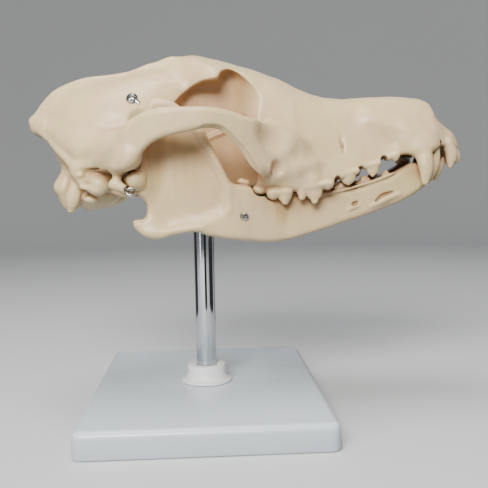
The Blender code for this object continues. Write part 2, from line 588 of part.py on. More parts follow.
def build_fields():
    cranium = Clay(CRANIUM_LOW, CRANIUM_HIGH)
    make_braincase(cranium)
    make_face(cranium)
    cut_orbit(cranium)
    make_arch(cranium)
    make_occiput(cranium)
    make_crests(cranium)
    make_ear_region(cranium)
    cut_openings(cranium)
    cranium.cut(limb(CONDYLE, [r + JOINT_SPACE for r in CONDYLE_RADII]), 1.0)
    cranium.cut(limb(LOWER_CANINE[0], [r + CANINE_SPACE for r in LOWER_CANINE[1]], flat=CANINE_FLAT), 1.0)
    make_cheek_teeth(cranium, UPPER_TEETH, -1)
    make_front_teeth(cranium, UPPER_CANINE, UPPER_INCISORS)

    snapped = [c + round((m - c) / GRID_STEP) * GRID_STEP for c, m in zip(CRANIUM_LOW, MANDIBLE_LOW)]
    mandible = Clay(snapped, MANDIBLE_HIGH)
    make_jaw(mandible)
    make_cheek_teeth(mandible, LOWER_TEETH, 1)
    make_front_teeth(mandible, LOWER_CANINE, LOWER_INCISORS)
    mandible.stand_clear_of(cranium, BITE_SPACE)
    return cranium, mandible


# Objects

def material(name, colour, roughness, metallic=0.0):
    made = bpy.data.materials.new(name)
    made.use_nodes = True
    shader = made.node_tree.nodes["Principled BSDF"]
    shader.inputs["Base Color"].default_value = (*colour, 1.0)
    shader.inputs["Roughness"].default_value = roughness
    shader.inputs["Metallic"].default_value = metallic
    return made


def place(name, mesh, finish):
    mesh.materials.append(finish)
    made = bpy.data.objects.new(name, mesh)
    bpy.context.scene.collection.objects.link(made)
    return made


def turned(name, profile, segments=32):
    """A closed mesh turned about z from (radius, z) points in millimetres.

    A profile that starts and ends on the axis makes a solid, and any other makes a ring.
    """
    bm = bmesh.new()
    rings = []
    for radius, z in profile:
        if radius == 0:
            rings.append([bm.verts.new((0, 0, z * MM))])
            continue
        turns = [2 * math.pi * k / segments for k in range(segments)]
        rings.append([
            bm.verts.new(Vector((radius * math.cos(t), radius * math.sin(t), z)) * MM) for t in turns
        ])
    pairs = list(zip(rings[:-1], rings[1:]))
    if profile[0][0] > 0:
        pairs.append((rings[-1], rings[0]))
    for lower, upper in pairs:
        for k in range(segments):
            corners = [lower[k % len(lower)], lower[(k + 1) % len(lower)],
                       upper[(k + 1) % len(upper)], upper[k % len(upper)]]
            bm.faces.new(dict.fromkeys(corners))
    bmesh.ops.recalc_face_normals(bm, faces=bm.faces)
    mesh = bpy.data.meshes.new(name)
    bm.to_mesh(mesh)
    bm.free()
    mesh.shade_smooth()
    mesh.set_sharp_from_angle(angle=math.radians(35))
    return mesh


def keep_largest(mesh):
    """Deletes every loose scrap, so that one closed surface is left."""
    bm = bmesh.new()
    bm.from_mesh(mesh)
    unseen, islands = set(bm.verts), []
    while unseen:
        heap, island = [unseen.pop()], []
        while heap:
            vert = heap.pop()
            island.append(vert)
            for edge in vert.link_edges:
                other = edge.other_vert(vert)
                if other in unseen:
                    unseen.remove(other)
                    heap.append(other)
        islands.append(island)
    islands.sort(key=len)
    for island in islands[:-1]:
        bmesh.ops.delete(bm, geom=island, context="VERTS")
    bm.to_mesh(mesh)
    bm.free()


def bone(name, clay, finish, faces, drills):
    """A bone from its clay, with fewer faces, and drilled by the drills' collection."""
    mesh = clay.mesh(name)
    keep_largest(mesh)
    made = place(name, mesh, finish)
    thin = made.modifiers.new("fewer_faces", "DECIMATE")
    triangles = sum(len(p.vertices) - 2 for p in mesh.polygons)
    thin.ratio = min(1.0, faces / triangles)
    bore = made.modifiers.new("drilled", "BOOLEAN")
    bore.operation = "DIFFERENCE"
    bore.operand_type = "COLLECTION"
    bore.collection = drills
    mesh.shade_smooth()
    return made


# Stand

def make_base(finish):
    bm = bmesh.new()
    bmesh.ops.create_cube(bm, size=1)
    bmesh.ops.scale(bm, verts=bm.verts, vec=Vector((BASE_WIDTH, BASE_DEPTH, BASE_HEIGHT)) * MM)
    bmesh.ops.translate(bm, verts=bm.verts, vec=(0, 0, BASE_HEIGHT / 2 * MM))
    upright = [e for e in bm.edges if abs(e.verts[0].co.z - e.verts[1].co.z) > MM]
    bmesh.ops.bevel(bm, geom=upright, offset=BASE_CORNER * MM, segments=6, profile=0.5, affect="EDGES")
    rim = [e for e in bm.edges if all(v.co.z > (BASE_HEIGHT - 0.1) * MM for v in e.verts)]
    bmesh.ops.bevel(bm, geom=rim, offset=BASE_ROUNDING * MM, segments=4, profile=0.5, affect="EDGES")
    mesh = bpy.data.meshes.new("stand_base")
    bm.to_mesh(mesh)
    bm.free()
    mesh.shade_smooth()
    mesh.set_sharp_from_angle(angle=math.radians(40))
    return place("stand_base", mesh, finish)


def make_collar(finish):
    foot, bore = BASE_HEIGHT + GAP, ROD_RADIUS + GAP
    return place("stand_collar", turned("stand_collar", [
        (bore, foot), (FLANGE_RADIUS, foot),
        (FLANGE_RADIUS, foot + FLANGE_HEIGHT - 1.2), (FLANGE_RADIUS - 1.2, foot + FLANGE_HEIGHT),
        (COLLAR_RADIUS, foot + FLANGE_HEIGHT),
        (COLLAR_RADIUS, COLLAR_TOP - 1.0), (COLLAR_RADIUS - 1.0, COLLAR_TOP), (bore, COLLAR_TOP),
    ], 24), finish)


def make_rod(finish):
    foot = BASE_HEIGHT + GAP
    return place("stand_rod", turned("stand_rod", [
        (0, foot), (ROD_RADIUS - 0.4, foot), (ROD_RADIUS, foot + 0.4),
        (ROD_RADIUS, ROD_TOP - 0.6), (ROD_RADIUS - 0.6, ROD_TOP), (0, ROD_TOP),
    ], 24), finish)


# Metal fittings, set on the bone that carries them

def surface_point(clay, inside, outward):
    """Where the line from a point inside the clay along outward leaves it, in millimetres."""
    inside, outward = np.array(inside, float), np.array(outward, float)
    outward = outward / np.linalg.norm(outward)
    for step in np.arange(0.0, 40.0, 0.1):
        at = inside + outward * step
        cell = np.round((at - clay.low) / clay.step).astype(int)
        if clay.field[tuple(cell)] > 0:
            return at
    raise ValueError("the line never leaves the bone")


def aim(made, at, outward, facing, side):
    """Puts an object's foot at a point, its z axis along outward and its y axis near facing."""
    mirror = Vector((1, side, 1))
    z_axis = (Vector(outward) * mirror).normalized()
    x_axis = (Vector(facing) * mirror).cross(z_axis).normalized()
    y_axis = z_axis.cross(x_axis)
    made.matrix_world = Matrix((x_axis, y_axis, z_axis)).transposed().to_4x4()
    made.location = Vector(at) * mirror * MM
    return made


def cutter(name, mesh):
    """An object that only shapes others."""
    made = bpy.data.objects.new(name, mesh)
    made.hide_render = True
    made.display_type = "WIRE"
    return made


def drill(name, profile, collection, place_at):
    """A cutter for a hole, wider by the gap than the piece that fills it."""
    made = cutter(name, turned(name, profile, 16))
    collection.objects.link(made)
    return aim(made, *place_at)


def make_screw(name, finish, head_radius, collection, place_at):
    """A pan head screw: its head stands on the bone and its shank fills a drilled hole."""
    piece = place(name, turned(name, [
        (0, -SHANK_LENGTH), (SHANK_RADIUS, -SHANK_LENGTH), (SHANK_RADIUS, -HEAD_SEAT),
        (head_radius, -HEAD_SEAT), (head_radius, 0.5), (head_radius * 0.7, HEAD_HEIGHT - 0.2),
        (0, HEAD_HEIGHT),
    ], 12), finish)
    aim(piece, *place_at)
    drill(name + "_hole", [
        (0, -SHANK_LENGTH - GAP), (SHANK_RADIUS + GAP, -SHANK_LENGTH - GAP),
        (SHANK_RADIUS + GAP, -HEAD_SEAT - GAP), (head_radius + GAP, -HEAD_SEAT - GAP),
        (head_radius + GAP, 4.0), (0, 4.0),
    ], collection, place_at)
    return piece


def make_ring(name, radius, wire, centre, around=14, across=6):
    """A closed ring of round wire in the xz plane, its middle at centre along z."""
    bm = bmesh.new()
    rings = []
    for k in range(around):
        t = 2 * math.pi * k / around
        turns = [2 * math.pi * j / across for j in range(across)]
        reach = [(radius + wire * math.cos(u), wire * math.sin(u)) for u in turns]
        rings.append([
            bm.verts.new(Vector((r * math.cos(t), y, centre + r * math.sin(t))) * MM) for r, y in reach
        ])
    for a, b in zip(rings, rings[1:] + rings[:1]):
        for j in range(across):
            bm.faces.new((a[j], a[(j + 1) % across], b[(j + 1) % across], b[j]))
    bmesh.ops.recalc_face_normals(bm, faces=bm.faces)
    mesh = bpy.data.meshes.new(name)
    bm.to_mesh(mesh)
    bm.free()
    mesh.shade_smooth()
    return mesh


def make_eyelet(name, finish, neck, collection, place_at):
    """A screw eye: a ring of wire on a shank, one piece, with its hole in the bone."""
    ring = place(name, make_ring(name, EYE_RADIUS, EYE_WIRE, neck + EYE_RADIUS), finish)
    shank = cutter(name + "_shank", turned(name + "_shank", [
        (0, -SHANK_LENGTH), (EYE_WIRE, -SHANK_LENGTH), (EYE_WIRE, neck), (0, neck),
    ], 8))
    bpy.context.scene.collection.objects.link(shank)
    join = ring.modifiers.new("shank", "BOOLEAN")
    join.operation = "UNION"
    join.object = shank
    aim(ring, *place_at)
    aim(shank, *place_at)
    drill(name + "_hole", [
        (0, -SHANK_LENGTH - GAP), (EYE_WIRE + GAP, -SHANK_LENGTH - GAP),
        (EYE_WIRE + GAP, 3.0), (0, 3.0),
    ], collection, place_at)
    return ring


def main():
    for thing in list(bpy.data.objects):
        bpy.data.objects.remove(thing)
    ivory = material("ivory_plastic", (0.78, 0.70, 0.58), 0.42)
    white = material("white_plastic", (0.80, 0.82, 0.84), 0.35)
    chrome = material("chromed_steel", (0.80, 0.81, 0.83), 0.12, 1.0)
    steel = material("nickel_steel", (0.62, 0.62, 0.60), 0.3, 1.0)
    cranium, mandible = build_fields()

    clays = {"cranium": cranium, "mandible": mandible}
    drills = {name: bpy.data.collections.new(name + "_drills") for name in clays}
    makers = {"screw": make_screw, "eyelet": make_eyelet}
    for side, word in ((1, "left"), (-1, "right")):
        for part in FITTINGS:
            at = surface_point(clays[part.bone], part.inside, part.way)
            place_at = (at, part.outward, part.facing, side)
            makers[part.kind](part.name + "_" + word, steel, part.size, drills[part.bone], place_at)
    drill("rod_hole", [(0, 60.0), (ROD_RADIUS + GAP, 60.0), (ROD_RADIUS + GAP, ROD_TOP + GAP),
                       (0, ROD_TOP + GAP)], drills["cranium"], ((0, 0, 0), (0, 0, 1), (0, 1, 0), 1))
    bone("cranium", cranium, ivory, CRANIUM_FACES, drills["cranium"])
    bone("mandible", mandible, ivory, MANDIBLE_FACES, drills["mandible"])
    make_base(white)
    make_collar(white)
    make_rod(chrome)


main()
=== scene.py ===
"""The looks of a life-size plastic cast of a dog's skull, on a chrome rod and a white base.

Both bones are modelled as clay: each feature is a form with a few named sizes, and the forms are
blended, cut and fused on a fine grid of distances that becomes one closed mesh. The bones' sizes
are in millimetres, x runs to the nose, y to the animal's left and z up, from the middle of the
base's underside. Everything else is in metres, in the same frame.
"""

import json
import math
from collections import namedtuple

import bmesh
import bpy
import numpy as np
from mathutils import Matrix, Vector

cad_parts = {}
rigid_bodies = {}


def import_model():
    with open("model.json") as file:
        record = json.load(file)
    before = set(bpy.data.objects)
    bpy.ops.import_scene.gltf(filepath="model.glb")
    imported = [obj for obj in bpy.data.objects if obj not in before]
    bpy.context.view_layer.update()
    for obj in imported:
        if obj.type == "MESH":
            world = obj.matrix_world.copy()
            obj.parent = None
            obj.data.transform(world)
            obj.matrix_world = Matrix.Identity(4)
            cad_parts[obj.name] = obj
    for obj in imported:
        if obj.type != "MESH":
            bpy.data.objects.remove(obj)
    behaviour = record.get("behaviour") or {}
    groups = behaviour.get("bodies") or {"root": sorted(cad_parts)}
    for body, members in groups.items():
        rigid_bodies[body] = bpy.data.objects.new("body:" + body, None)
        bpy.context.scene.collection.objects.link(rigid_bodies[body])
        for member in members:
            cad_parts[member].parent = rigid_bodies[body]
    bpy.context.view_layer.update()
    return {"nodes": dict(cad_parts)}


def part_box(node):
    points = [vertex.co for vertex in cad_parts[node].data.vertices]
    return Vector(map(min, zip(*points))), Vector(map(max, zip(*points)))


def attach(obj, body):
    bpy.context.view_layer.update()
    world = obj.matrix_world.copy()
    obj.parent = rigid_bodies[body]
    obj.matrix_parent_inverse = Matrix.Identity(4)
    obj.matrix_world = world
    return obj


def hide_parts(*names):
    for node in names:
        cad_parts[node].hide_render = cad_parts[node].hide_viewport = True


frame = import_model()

import openvdb
from mathutils import Matrix, Vector

bl_info = {
    "name": "Dog skull cast",
    "version": (1, 0, 0),
    "blender": (4, 5, 0),
    "location": "View3D > Sidebar > Skull",
    "description": "Models a dog's skull cast with its screws, its stand and a plain studio",
    "category": "Object",
}

MM = 0.001
BODY = "root"


# Settings that a user would change

def tint_setting(name, description, default):
    return bpy.props.FloatVectorProperty(
        name=name, description=description, default=default, size=3, subtype="COLOR", min=0, max=1)


def length_setting(name, description, default, **limits):
    return bpy.props.FloatProperty(
        name=name, description=description, default=default, unit="LENGTH", precision=5, **limits)


def power_setting(name, description, default):
    return bpy.props.FloatProperty(name=name, description=description, default=default, unit="POWER")


class CastSettings(bpy.types.PropertyGroup):
    """The two bones and their plastic."""

    grid: length_setting(
        "Grid", "Spacing of the grid that the bones are modelled on", 0.00036, min=0.0003, max=0.0012)
    cranium_faces: bpy.props.IntProperty(
        name="Cranium faces", description="Triangles kept in the cranium", default=190000)
    mandible_faces: bpy.props.IntProperty(
        name="Mandible faces", description="Triangles kept in the lower jaw", default=130000)
    ivory: tint_setting("Ivory", "The plastic where light reaches it", (0.83, 0.66, 0.35))
    blush: tint_setting("Blush", "Its warmer patches", (0.82, 0.60, 0.37))
    # Tan and umber are painted shade, laid where little light reaches the hollows and the grooves
    tan: tint_setting("Tan", "Its colour in the hollows", (0.52, 0.30, 0.14))
    umber: tint_setting("Umber", "Its colour in the deepest hollows and slits", (0.16, 0.10, 0.06))
    stain: tint_setting("Stain", "The olive stain behind the cheek bone", (0.30, 0.26, 0.07))
    roughness: bpy.props.FloatProperty(
        name="Roughness", description="Roughness of the plastic", default=0.35, min=0, max=1,
        subtype="FACTOR")


class FittingSettings(bpy.types.PropertyGroup):
    """The screws and the screw eyes."""

    temple_head: length_setting("Temple screw head", "Radius of the upper screws' heads", 0.0030)
    jaw_head: length_setting("Jaw screw head", "Radius of the jaw screws' heads", 0.00215)
    head_height: length_setting("Head height", "How far a screw's head stands out", 0.0015)
    wire_end: length_setting(
        "Wire end", "Length of the wire end that shows beside the upper screws", 0.0045)
    ring_radius: length_setting("Eye radius", "Radius of a screw eye's ring, to the wire's middle", 0.0021)
    ring_wire: length_setting("Eye wire", "Radius of a screw eye's wire", 0.0005)
    thread_pitch: length_setting("Thread pitch", "Distance between the turns of a thread", 0.0009)
    nickel: tint_setting("Nickel", "Colour of the plated steel", (0.52, 0.52, 0.51))


class StandSettings(bpy.types.PropertyGroup):
    """The base, the collar and the rod."""

    rim_rounding: length_setting("Rim rounding", "Radius of the base's upper edges", 0.0034)
    foot_rounding: length_setting("Foot rounding", "Radius of the base's lower edges", 0.0009)
    corner: length_setting("Corner", "Radius of the base's upright corners", 0.005)
    # The base is white plastic; the blue in this tint is painted light, for the blue light that its
    # surroundings throw on it
    white: tint_setting("White", "The base's plastic", (0.72, 0.80, 0.86))
    milk: tint_setting("Milk white", "The collar's plastic", (0.88, 0.88, 0.88))
    # Darker than bare chrome: painted shade in the reflections, for the dark surroundings that the rod
    # mirrors
    chrome: tint_setting("Chrome", "The rod's plating", (0.52, 0.55, 0.58))


class StudioSettings(bpy.types.PropertyGroup):
    """Floor, light and camera."""

    floor: tint_setting("Floor", "The floor's colour", (0.76, 0.77, 0.78))
    lens: bpy.props.FloatProperty(
        name="Lens", description="The camera's focal length", default=51.57, unit="CAMERA", precision=2)
    key_power: power_setting("Key light", "Power of the light at the front", 14.5)
    top_power: power_setting("Top light", "Power of the large light overhead", 5.5)
    fill_power: power_setting("Fill light", "Power of the small lights", 0.35)
    strip_power: power_setting("Strip light", "Power of the narrow light that the metal mirrors", 0.35)
    sky_strength: bpy.props.FloatProperty(
        name="Sky", description="Strength of the light from all round", default=0.30, min=0)


# Shader maths

class Wire:
    """A node's output that takes part in Python expressions, each of which adds Math nodes."""

    def __init__(self, nodes, socket):
        self.nodes = nodes
        self.socket = socket

    def maths(self, operation, *others):
        return self.nodes.add("Math", {"operation": operation}, dict(enumerate((self, *others))))

    def __add__(self, other):
        return self.maths("ADD", other)

    __radd__ = __add__

    def __sub__(self, other):
        return self.maths("SUBTRACT", other)

    def __rsub__(self, other):
        return self.nodes.add("Math", {"operation": "SUBTRACT"}, {0: other, 1: self})

    def __mul__(self, other):
        return self.maths("MULTIPLY", other)

    __rmul__ = __mul__

    def __truediv__(self, other):
        return self.maths("DIVIDE", other)

    def __pow__(self, other):
        return self.maths("POWER", other)


# The sockets of a Mix node that take and give colours
MIX_FIRST = 6
MIX_SECOND = 7
MIX_RESULT = 2


class Nodes:
    """The node tree of one material or world."""

    def __init__(self, owner):
        owner.use_nodes = True
        self.tree = owner.node_tree
        self.tree.nodes.clear()

    def add(self, kind, settings=None, values=None, output=0):
        """Adds a shader node, sets it up, fills its sockets and gives back one output."""
        made = self.tree.nodes.new("ShaderNode" + kind)
        for name, value in (settings or {}).items():
            if name == "stops":
                self.set_stops(made.color_ramp, value)
            else:
                setattr(made, name, value)
        for name, value in (values or {}).items():
            socket = made.inputs[name]
            if isinstance(value, Wire):
                self.tree.links.new(value.socket, socket)
            else:
                socket.default_value = value
        return Wire(self, made.outputs[output]) if made.outputs else None

    def set_stops(self, ramp, stops):
        while len(ramp.elements) < len(stops):
            ramp.elements.new(1.0)
        for element, (place, colour) in zip(ramp.elements, stops):
            element.position = place
            element.color = colour

    def place(self):
        return self.add("TexCoord", output="Object")

    def noise(self, scale, detail=2.0, roughness=0.5, at=None, distortion=0.0):
        return self.add("TexNoise", {"noise_dimensions": "3D"}, {
            "Vector": at or self.place(), "Scale": scale, "Detail": detail,
            "Roughness": roughness, "Distortion": distortion})

    def attribute(self, name):
        return self.add("Attribute", {"attribute_type": "GEOMETRY", "attribute_name": name},
                        output="Fac")

    def span(self, value, low, high, start=0.0, end=1.0):
        """Goes smoothly from start to end while the value goes from low to high."""
        return self.add("MapRange", {"interpolation_type": "SMOOTHSTEP"}, {
            "Value": value, "From Min": low, "From Max": high, "To Min": start, "To Max": end})

    def mix(self, share, first, second):
        """A colour between two colours."""
        return self.add("Mix", {"data_type": "RGBA"}, {
            0: share, MIX_FIRST: first, MIX_SECOND: second}, output=MIX_RESULT)

    def bump(self, height, distance, strength=1.0, normal=None):
        values = {"Height": height, "Distance": distance, "Strength": strength}
        if normal:
            values["Normal"] = normal
        return self.add("Bump", None, values)

    def surface(self, values):
        shader = self.add("BsdfPrincipled", None, values)
        self.add("OutputMaterial", None, {"Surface": shader})


def colour(rgb):
    return (*rgb, 1.0)


def new_material(name):
    made = bpy.data.materials.new(name)
    return made, Nodes(made)


# Painted shade: the openness at which the tan and the umber shade start and are full, the same for the
# shade in narrow grooves by their depth, and their shares
TAN_SPAN = (0.49, 0.18)
TAN_SHARE = 0.85
UMBER_SPAN = (0.17, 0.03)
UMBER_SHARE = 0.9
GROOVE_SHADE_SPAN = (0.30, 0.85)
GROOVE_SHADE_SHARE = 0.55
# The stain's middle as (x, z), its half length and half width, its slope, where it fades, counted in
# its own reach, and where along y it starts and is full, on the animal's right side
STAIN_PLACE = (-0.0323, 0.1540)
STAIN_REACH = (0.0054, 0.0034)
STAIN_TURN = math.radians(42)
STAIN_FADE = (1.25, 0.25)
STAIN_SIDE = (-0.010, -0.018)


def ivory_plastic(name, cast):
    """Cream plastic, blushed in patches, with painted shade in tan and umber in its hollows and narrow
    grooves, and a satin, slightly uneven skin.
    """
    made, nodes = new_material(name)
    broad = nodes.noise(38.0, 2.0, 0.5)
    fine = nodes.noise(210.0, 3.0, 0.6)
    openness = nodes.attribute("openness")
    groove = nodes.attribute("groove")
    patchy = nodes.span(broad, 0.38, 0.66)
    skin = nodes.mix(patchy * 0.8, colour(cast.ivory), colour(cast.blush))
    wobble = (broad - 0.5) * 0.12 + (fine - 0.5) * 0.05
    # Painted shade: tan where a point sees little of the sky, umber where it sees almost none
    shade = nodes.span(openness + wobble, *TAN_SPAN)
    skin = nodes.mix(shade * TAN_SHARE, skin, colour(cast.tan))
    deep = nodes.span(openness + wobble, *UMBER_SPAN)
    skin = nodes.mix(deep * UMBER_SHARE, skin, colour(cast.umber))
    # Painted shade in narrow grooves, in umber; these grooves are also made a little rougher
    groove_shade = nodes.span(groove + (fine - 0.5) * 0.25, *GROOVE_SHADE_SPAN)
    skin = nodes.mix(groove_shade * GROOVE_SHADE_SHARE, skin, colour(cast.umber))
    x, y, z = (nodes.add("SeparateXYZ", None, {0: nodes.place()}, output=axis) for axis in "XYZ")
    along = (x - STAIN_PLACE[0]) * math.cos(STAIN_TURN) + (z - STAIN_PLACE[1]) * math.sin(STAIN_TURN)
    across = (z - STAIN_PLACE[1]) * math.cos(STAIN_TURN) - (x - STAIN_PLACE[0]) * math.sin(STAIN_TURN)
    along, across = along / STAIN_REACH[0], across / STAIN_REACH[1]
    away = (along * along + across * across) ** 0.5
    stained = nodes.span(away + (fine - 0.5) * 0.9, *STAIN_FADE) * nodes.span(y, *STAIN_SIDE)
    skin = nodes.mix(stained, skin, colour(cast.stain))
    rough = cast.roughness + (fine - 0.5) * 0.16 + (broad - 0.5) * 0.14 + groove_shade * 0.2
    swell = nodes.bump(nodes.noise(95.0, 2.0, 0.5), 0.00025, 0.35)
    pores = nodes.bump(nodes.noise(900.0, 2.0, 0.6), 0.00006, 0.5, swell)
    nodes.surface({
        "Base Color": skin, "Roughness": rough, "Normal": pores, "IOR": 1.5,
        "Subsurface Weight": 0.12, "Subsurface Radius": (0.9, 0.55, 0.3),
        "Subsurface Scale": 0.0025})
    return made


def moulded_plastic(name, tint, roughness):
    """Injection-moulded plastic: glossy, with a faint orange peel and fine handling scratches."""
    made, nodes = new_material(name)
    peel = nodes.noise(420.0, 2.0, 0.5)
    haze = nodes.noise(26.0, 3.0, 0.55)
    stretch = nodes.add("Mapping", None, {
        "Vector": nodes.place(), "Rotation": (0.0, 0.0, 0.7), "Scale": (30.0, 900.0, 400.0)})
    streak = nodes.noise(1.0, 2.0, 0.5, at=stretch)
    scratch = nodes.span(streak, 0.66, 0.74)
    dull = nodes.span(haze, 0.35, 0.70)
    body = nodes.mix(dull * 0.25, colour(tint), colour([c * 0.93 for c in tint]))
    rough = roughness + dull * 0.10 + scratch * 0.12
    relief = nodes.bump(peel, 0.00005, 0.25)
    relief = nodes.bump(scratch, 0.00002, -0.3, relief)
    nodes.surface({
        "Base Color": body, "Roughness": rough, "Normal": relief, "IOR": 1.49,
        "Subsurface Weight": 0.1, "Subsurface Radius": (1.0, 1.0, 1.0),
        "Subsurface Scale": 0.002})
    return made


def plated_steel(name, tint, roughness, stretch):
    """Bright plating with faint draw lines along the stretch, and finger marks."""
    made, nodes = new_material(name)
    lines = nodes.noise(1.0, 2.0, 0.5, at=nodes.add(
        "Mapping", None, {"Vector": nodes.place(), "Scale": stretch}))
    marks = nodes.noise(70.0, 3.0, 0.6, distortion=0.6)
    smudge = nodes.span(marks, 0.52, 0.72)
    body = nodes.mix(smudge * 0.3, colour(tint), colour([c * 0.86 for c in tint]))
    rough = roughness + smudge * 0.08 + (lines - 0.5) * 0.05
    nodes.surface({
        "Base Color": body, "Metallic": 1.0, "Roughness": rough,
        "Normal": nodes.bump(lines, 0.00001, 0.25)})
    return made


# Distances and blends

Form = namedtuple("Form", "low high distance")
# The distance that stands for open air, in millimetres
FAR = 50.0


def smooth_min(a, b, blend):
    """The lesser of two distances, with a fillet about as wide as the blend."""
    if blend <= 0:
        return np.minimum(a, b)
    near = np.maximum(blend - np.abs(a - b), 0.0) / blend
    return np.minimum(a, b) - near * near * blend * 0.25


def smooth_max(a, b, blend):
    return -smooth_min(-a, -b, blend)


def curve(at, knots, values):
    """A smooth line through (knots, values), without overshoot, read at each place."""
    kind = np.asarray(at).dtype if np.ndim(at) else float
    knots = np.asarray(knots, float)
    values = np.asarray(values, float)
    steps = np.diff(knots)
    slopes = np.diff(values) / steps
    bends = np.zeros(len(knots))
    bends[0], bends[-1] = slopes[0], slopes[-1]
    same_way = slopes[:-1] * slopes[1:] > 0
    w1 = 2 * steps[1:] + steps[:-1]
    w2 = steps[1:] + 2 * steps[:-1]
    safe = np.where(slopes == 0, 1.0, slopes)
    pull = np.where(same_way, w1 / safe[:-1] + w2 / safe[1:], 1.0)
    bends[1:-1] = np.where(same_way, (w1 + w2) / pull, 0.0)
    at = np.clip(at, knots[0], knots[-1])
    i = np.clip(np.searchsorted(knots, at) - 1, 0, len(steps) - 1)
    h = steps[i]
    t = (at - knots[i]) / h
    line = (
        values[i] * (1 + 2 * t) * (1 - t) ** 2
        + bends[i] * h * t * (1 - t) ** 2
        + values[i + 1] * t * t * (3 - 2 * t)
        + bends[i + 1] * h * t * t * (t - 1)
    )
    return line.astype(kind) if np.ndim(line) else float(line)


class Clay:
    """Signed distances on a grid over the half of space with y above 0, negative inside the clay.

    All blocks of clay share one lattice, so that one can be cut clear of another.
    """

    def __init__(self, low, high, step):
        self.step = step
        self.start = [int(math.floor(v / step)) for v in low]
        self.start[1] = 0
        self.low = np.array(self.start) * step
        counts = [int(math.ceil(b / step)) - a + 1 for a, b in zip(self.start, high)]
        self.axes = [
            ((a + np.arange(n)) * step).astype(np.float32) for a, n in zip(self.start, counts)
        ]
        self.field = np.full(counts, FAR, np.float32)

    def window(self, form, margin):
        spans = []
        for axis, low, high in zip(self.axes, form.low, form.high):
            first = int(np.searchsorted(axis, low - margin))
            last = int(np.searchsorted(axis, high + margin))
            spans.append(slice(first, max(last, first)))
        x, y, z = (axis[span] for axis, span in zip(self.axes, spans))
        return tuple(spans), x[:, None, None], y[None, :, None], z[None, None, :]

    def add(self, form, blend=0.0):
        spans, x, y, z = self.window(form, blend + 2 * self.step)
        if min(s.stop - s.start for s in spans) > 0:
            self.field[spans] = smooth_min(self.field[spans], form.distance(x, y, z), blend)

    def cut(self, form, blend=0.0):
        spans, x, y, z = self.window(form, blend + 2 * self.step)
        if min(s.stop - s.start for s in spans) > 0:
            self.field[spans] = smooth_max(self.field[spans], -form.distance(x, y, z), blend)

    def stand_clear_of(self, other, gap):
        """Cuts away what lies within the gap of another block of clay."""
        shift = [a - b for a, b in zip(self.start, other.start)]
        low = [max(0, -s) for s in shift]
        high = [min(a, n - s) for a, n, s in zip(self.field.shape, other.field.shape, shift)]
        mine = tuple(slice(a, b) for a, b in zip(low, high))
        theirs = tuple(slice(a + s, b + s) for a, b, s in zip(low, high, shift))
        self.field[mine] = np.maximum(self.field[mine], gap - other.field[theirs])

    def read(self, points):
        """The distance at each point, in millimetres, the right half mirrored on the left one."""
        at = (np.abs(points * (0, 1, 0)) + points * (1, 0, 1) - self.low) / self.step
        return read_block(self.field, at)

    def mesh(self, name):
        """The surface as a mesh in metres: the half and its mirror image in one piece."""
        whole = np.concatenate([self.field[:, :0:-1, :], self.field], axis=1)
        grid = openvdb.FloatGrid(1.0)
        grid.copyFromArray(np.ascontiguousarray(whole))
        points, quads = grid.convertToQuads(isovalue=0.0)
        points = points * self.step + self.low
        points[:, 1] -= self.step * (self.field.shape[1] - 1)
        mesh = bpy.data.meshes.new(name)
        mesh.vertices.add(len(points))
        mesh.vertices.foreach_set("co", (points * MM).astype(np.float32).ravel())
        mesh.loops.add(quads.size)
        mesh.loops.foreach_set("vertex_index", quads.astype(np.int32).ravel())
        mesh.polygons.add(len(quads))
        mesh.polygons.foreach_set("loop_start", np.arange(0, quads.size, 4, dtype=np.int32))
        mesh.update(calc_edges=True)
        mesh.validate()
        return mesh


def read_block(block, at):
    """Values of a block of cells read between its cells, at places counted in cells."""
    at = np.clip(at, 0.0, np.array(block.shape) - 1.001)
    cell = at.astype(int)
    part = at - cell
    total = np.zeros(len(at))
    for corner in np.ndindex(2, 2, 2):
        share = np.prod(np.where(corner, part, 1 - part), axis=1)
        i, j, k = (cell + corner).T
        total += share * block[i, j, k]
    return total


# Forms that the bones are made of

def egg(centre, radii, pitch=0.0, yaw=0.0):
    """An ellipsoid; pitch lifts its nose end and yaw turns that end outwards, in degrees."""
    reach = max(radii)
    low = [c - reach for c in centre]
    high = [c + reach for c in centre]
    cp, sp = math.cos(math.radians(pitch)), math.sin(math.radians(pitch))
    cy, sy = math.cos(math.radians(yaw)), math.sin(math.radians(yaw))

    def distance(x, y, z):
        dx, dy, dz = x - centre[0], y - centre[1], z - centre[2]
        dx, dy = dx * cy + dy * sy, dy * cy - dx * sy
        dx, dz = dx * cp + dz * sp, dz * cp - dx * sp
        a, b, c = dx / radii[0], dy / radii[1], dz / radii[2]
        k0 = np.sqrt(a * a + b * b + c * c)
        k1 = np.sqrt((a / radii[0]) ** 2 + (b / radii[1]) ** 2 + (c / radii[2]) ** 2)
        return k0 * (k0 - 1.0) / np.maximum(k1, 1e-6)

    return Form(low, high, distance)


def limb(points, radii, flat=(1.0, 1.0, 1.0)):
    """A chain of tapered round rods through the points, each axis widened by its flat factor."""
    points = [np.array(p, float) for p in points]
    flat = np.array(flat, float)
    reach = max(radii) * flat.max()
    low = np.min(points, axis=0) - reach
    high = np.max(points, axis=0) + reach

    def distance(x, y, z):
        best = None
        for a, b, ra, rb in zip(points[:-1], points[1:], radii[:-1], radii[1:]):
            a, b = a / flat, b / flat
            ab = b - a
            px, py, pz = x / flat[0] - a[0], y / flat[1] - a[1], z / flat[2] - a[2]
            t = np.clip((px * ab[0] + py * ab[1] + pz * ab[2]) / (ab @ ab), 0, 1)
            away = np.sqrt(
                (px - t * ab[0]) ** 2 + (py - t * ab[1]) ** 2 + (pz - t * ab[2]) ** 2
            )
            here = away - (ra + (rb - ra) * t)
            best = here if best is None else np.minimum(best, here)
        return best * flat.min()

    return Form(low, high, distance)


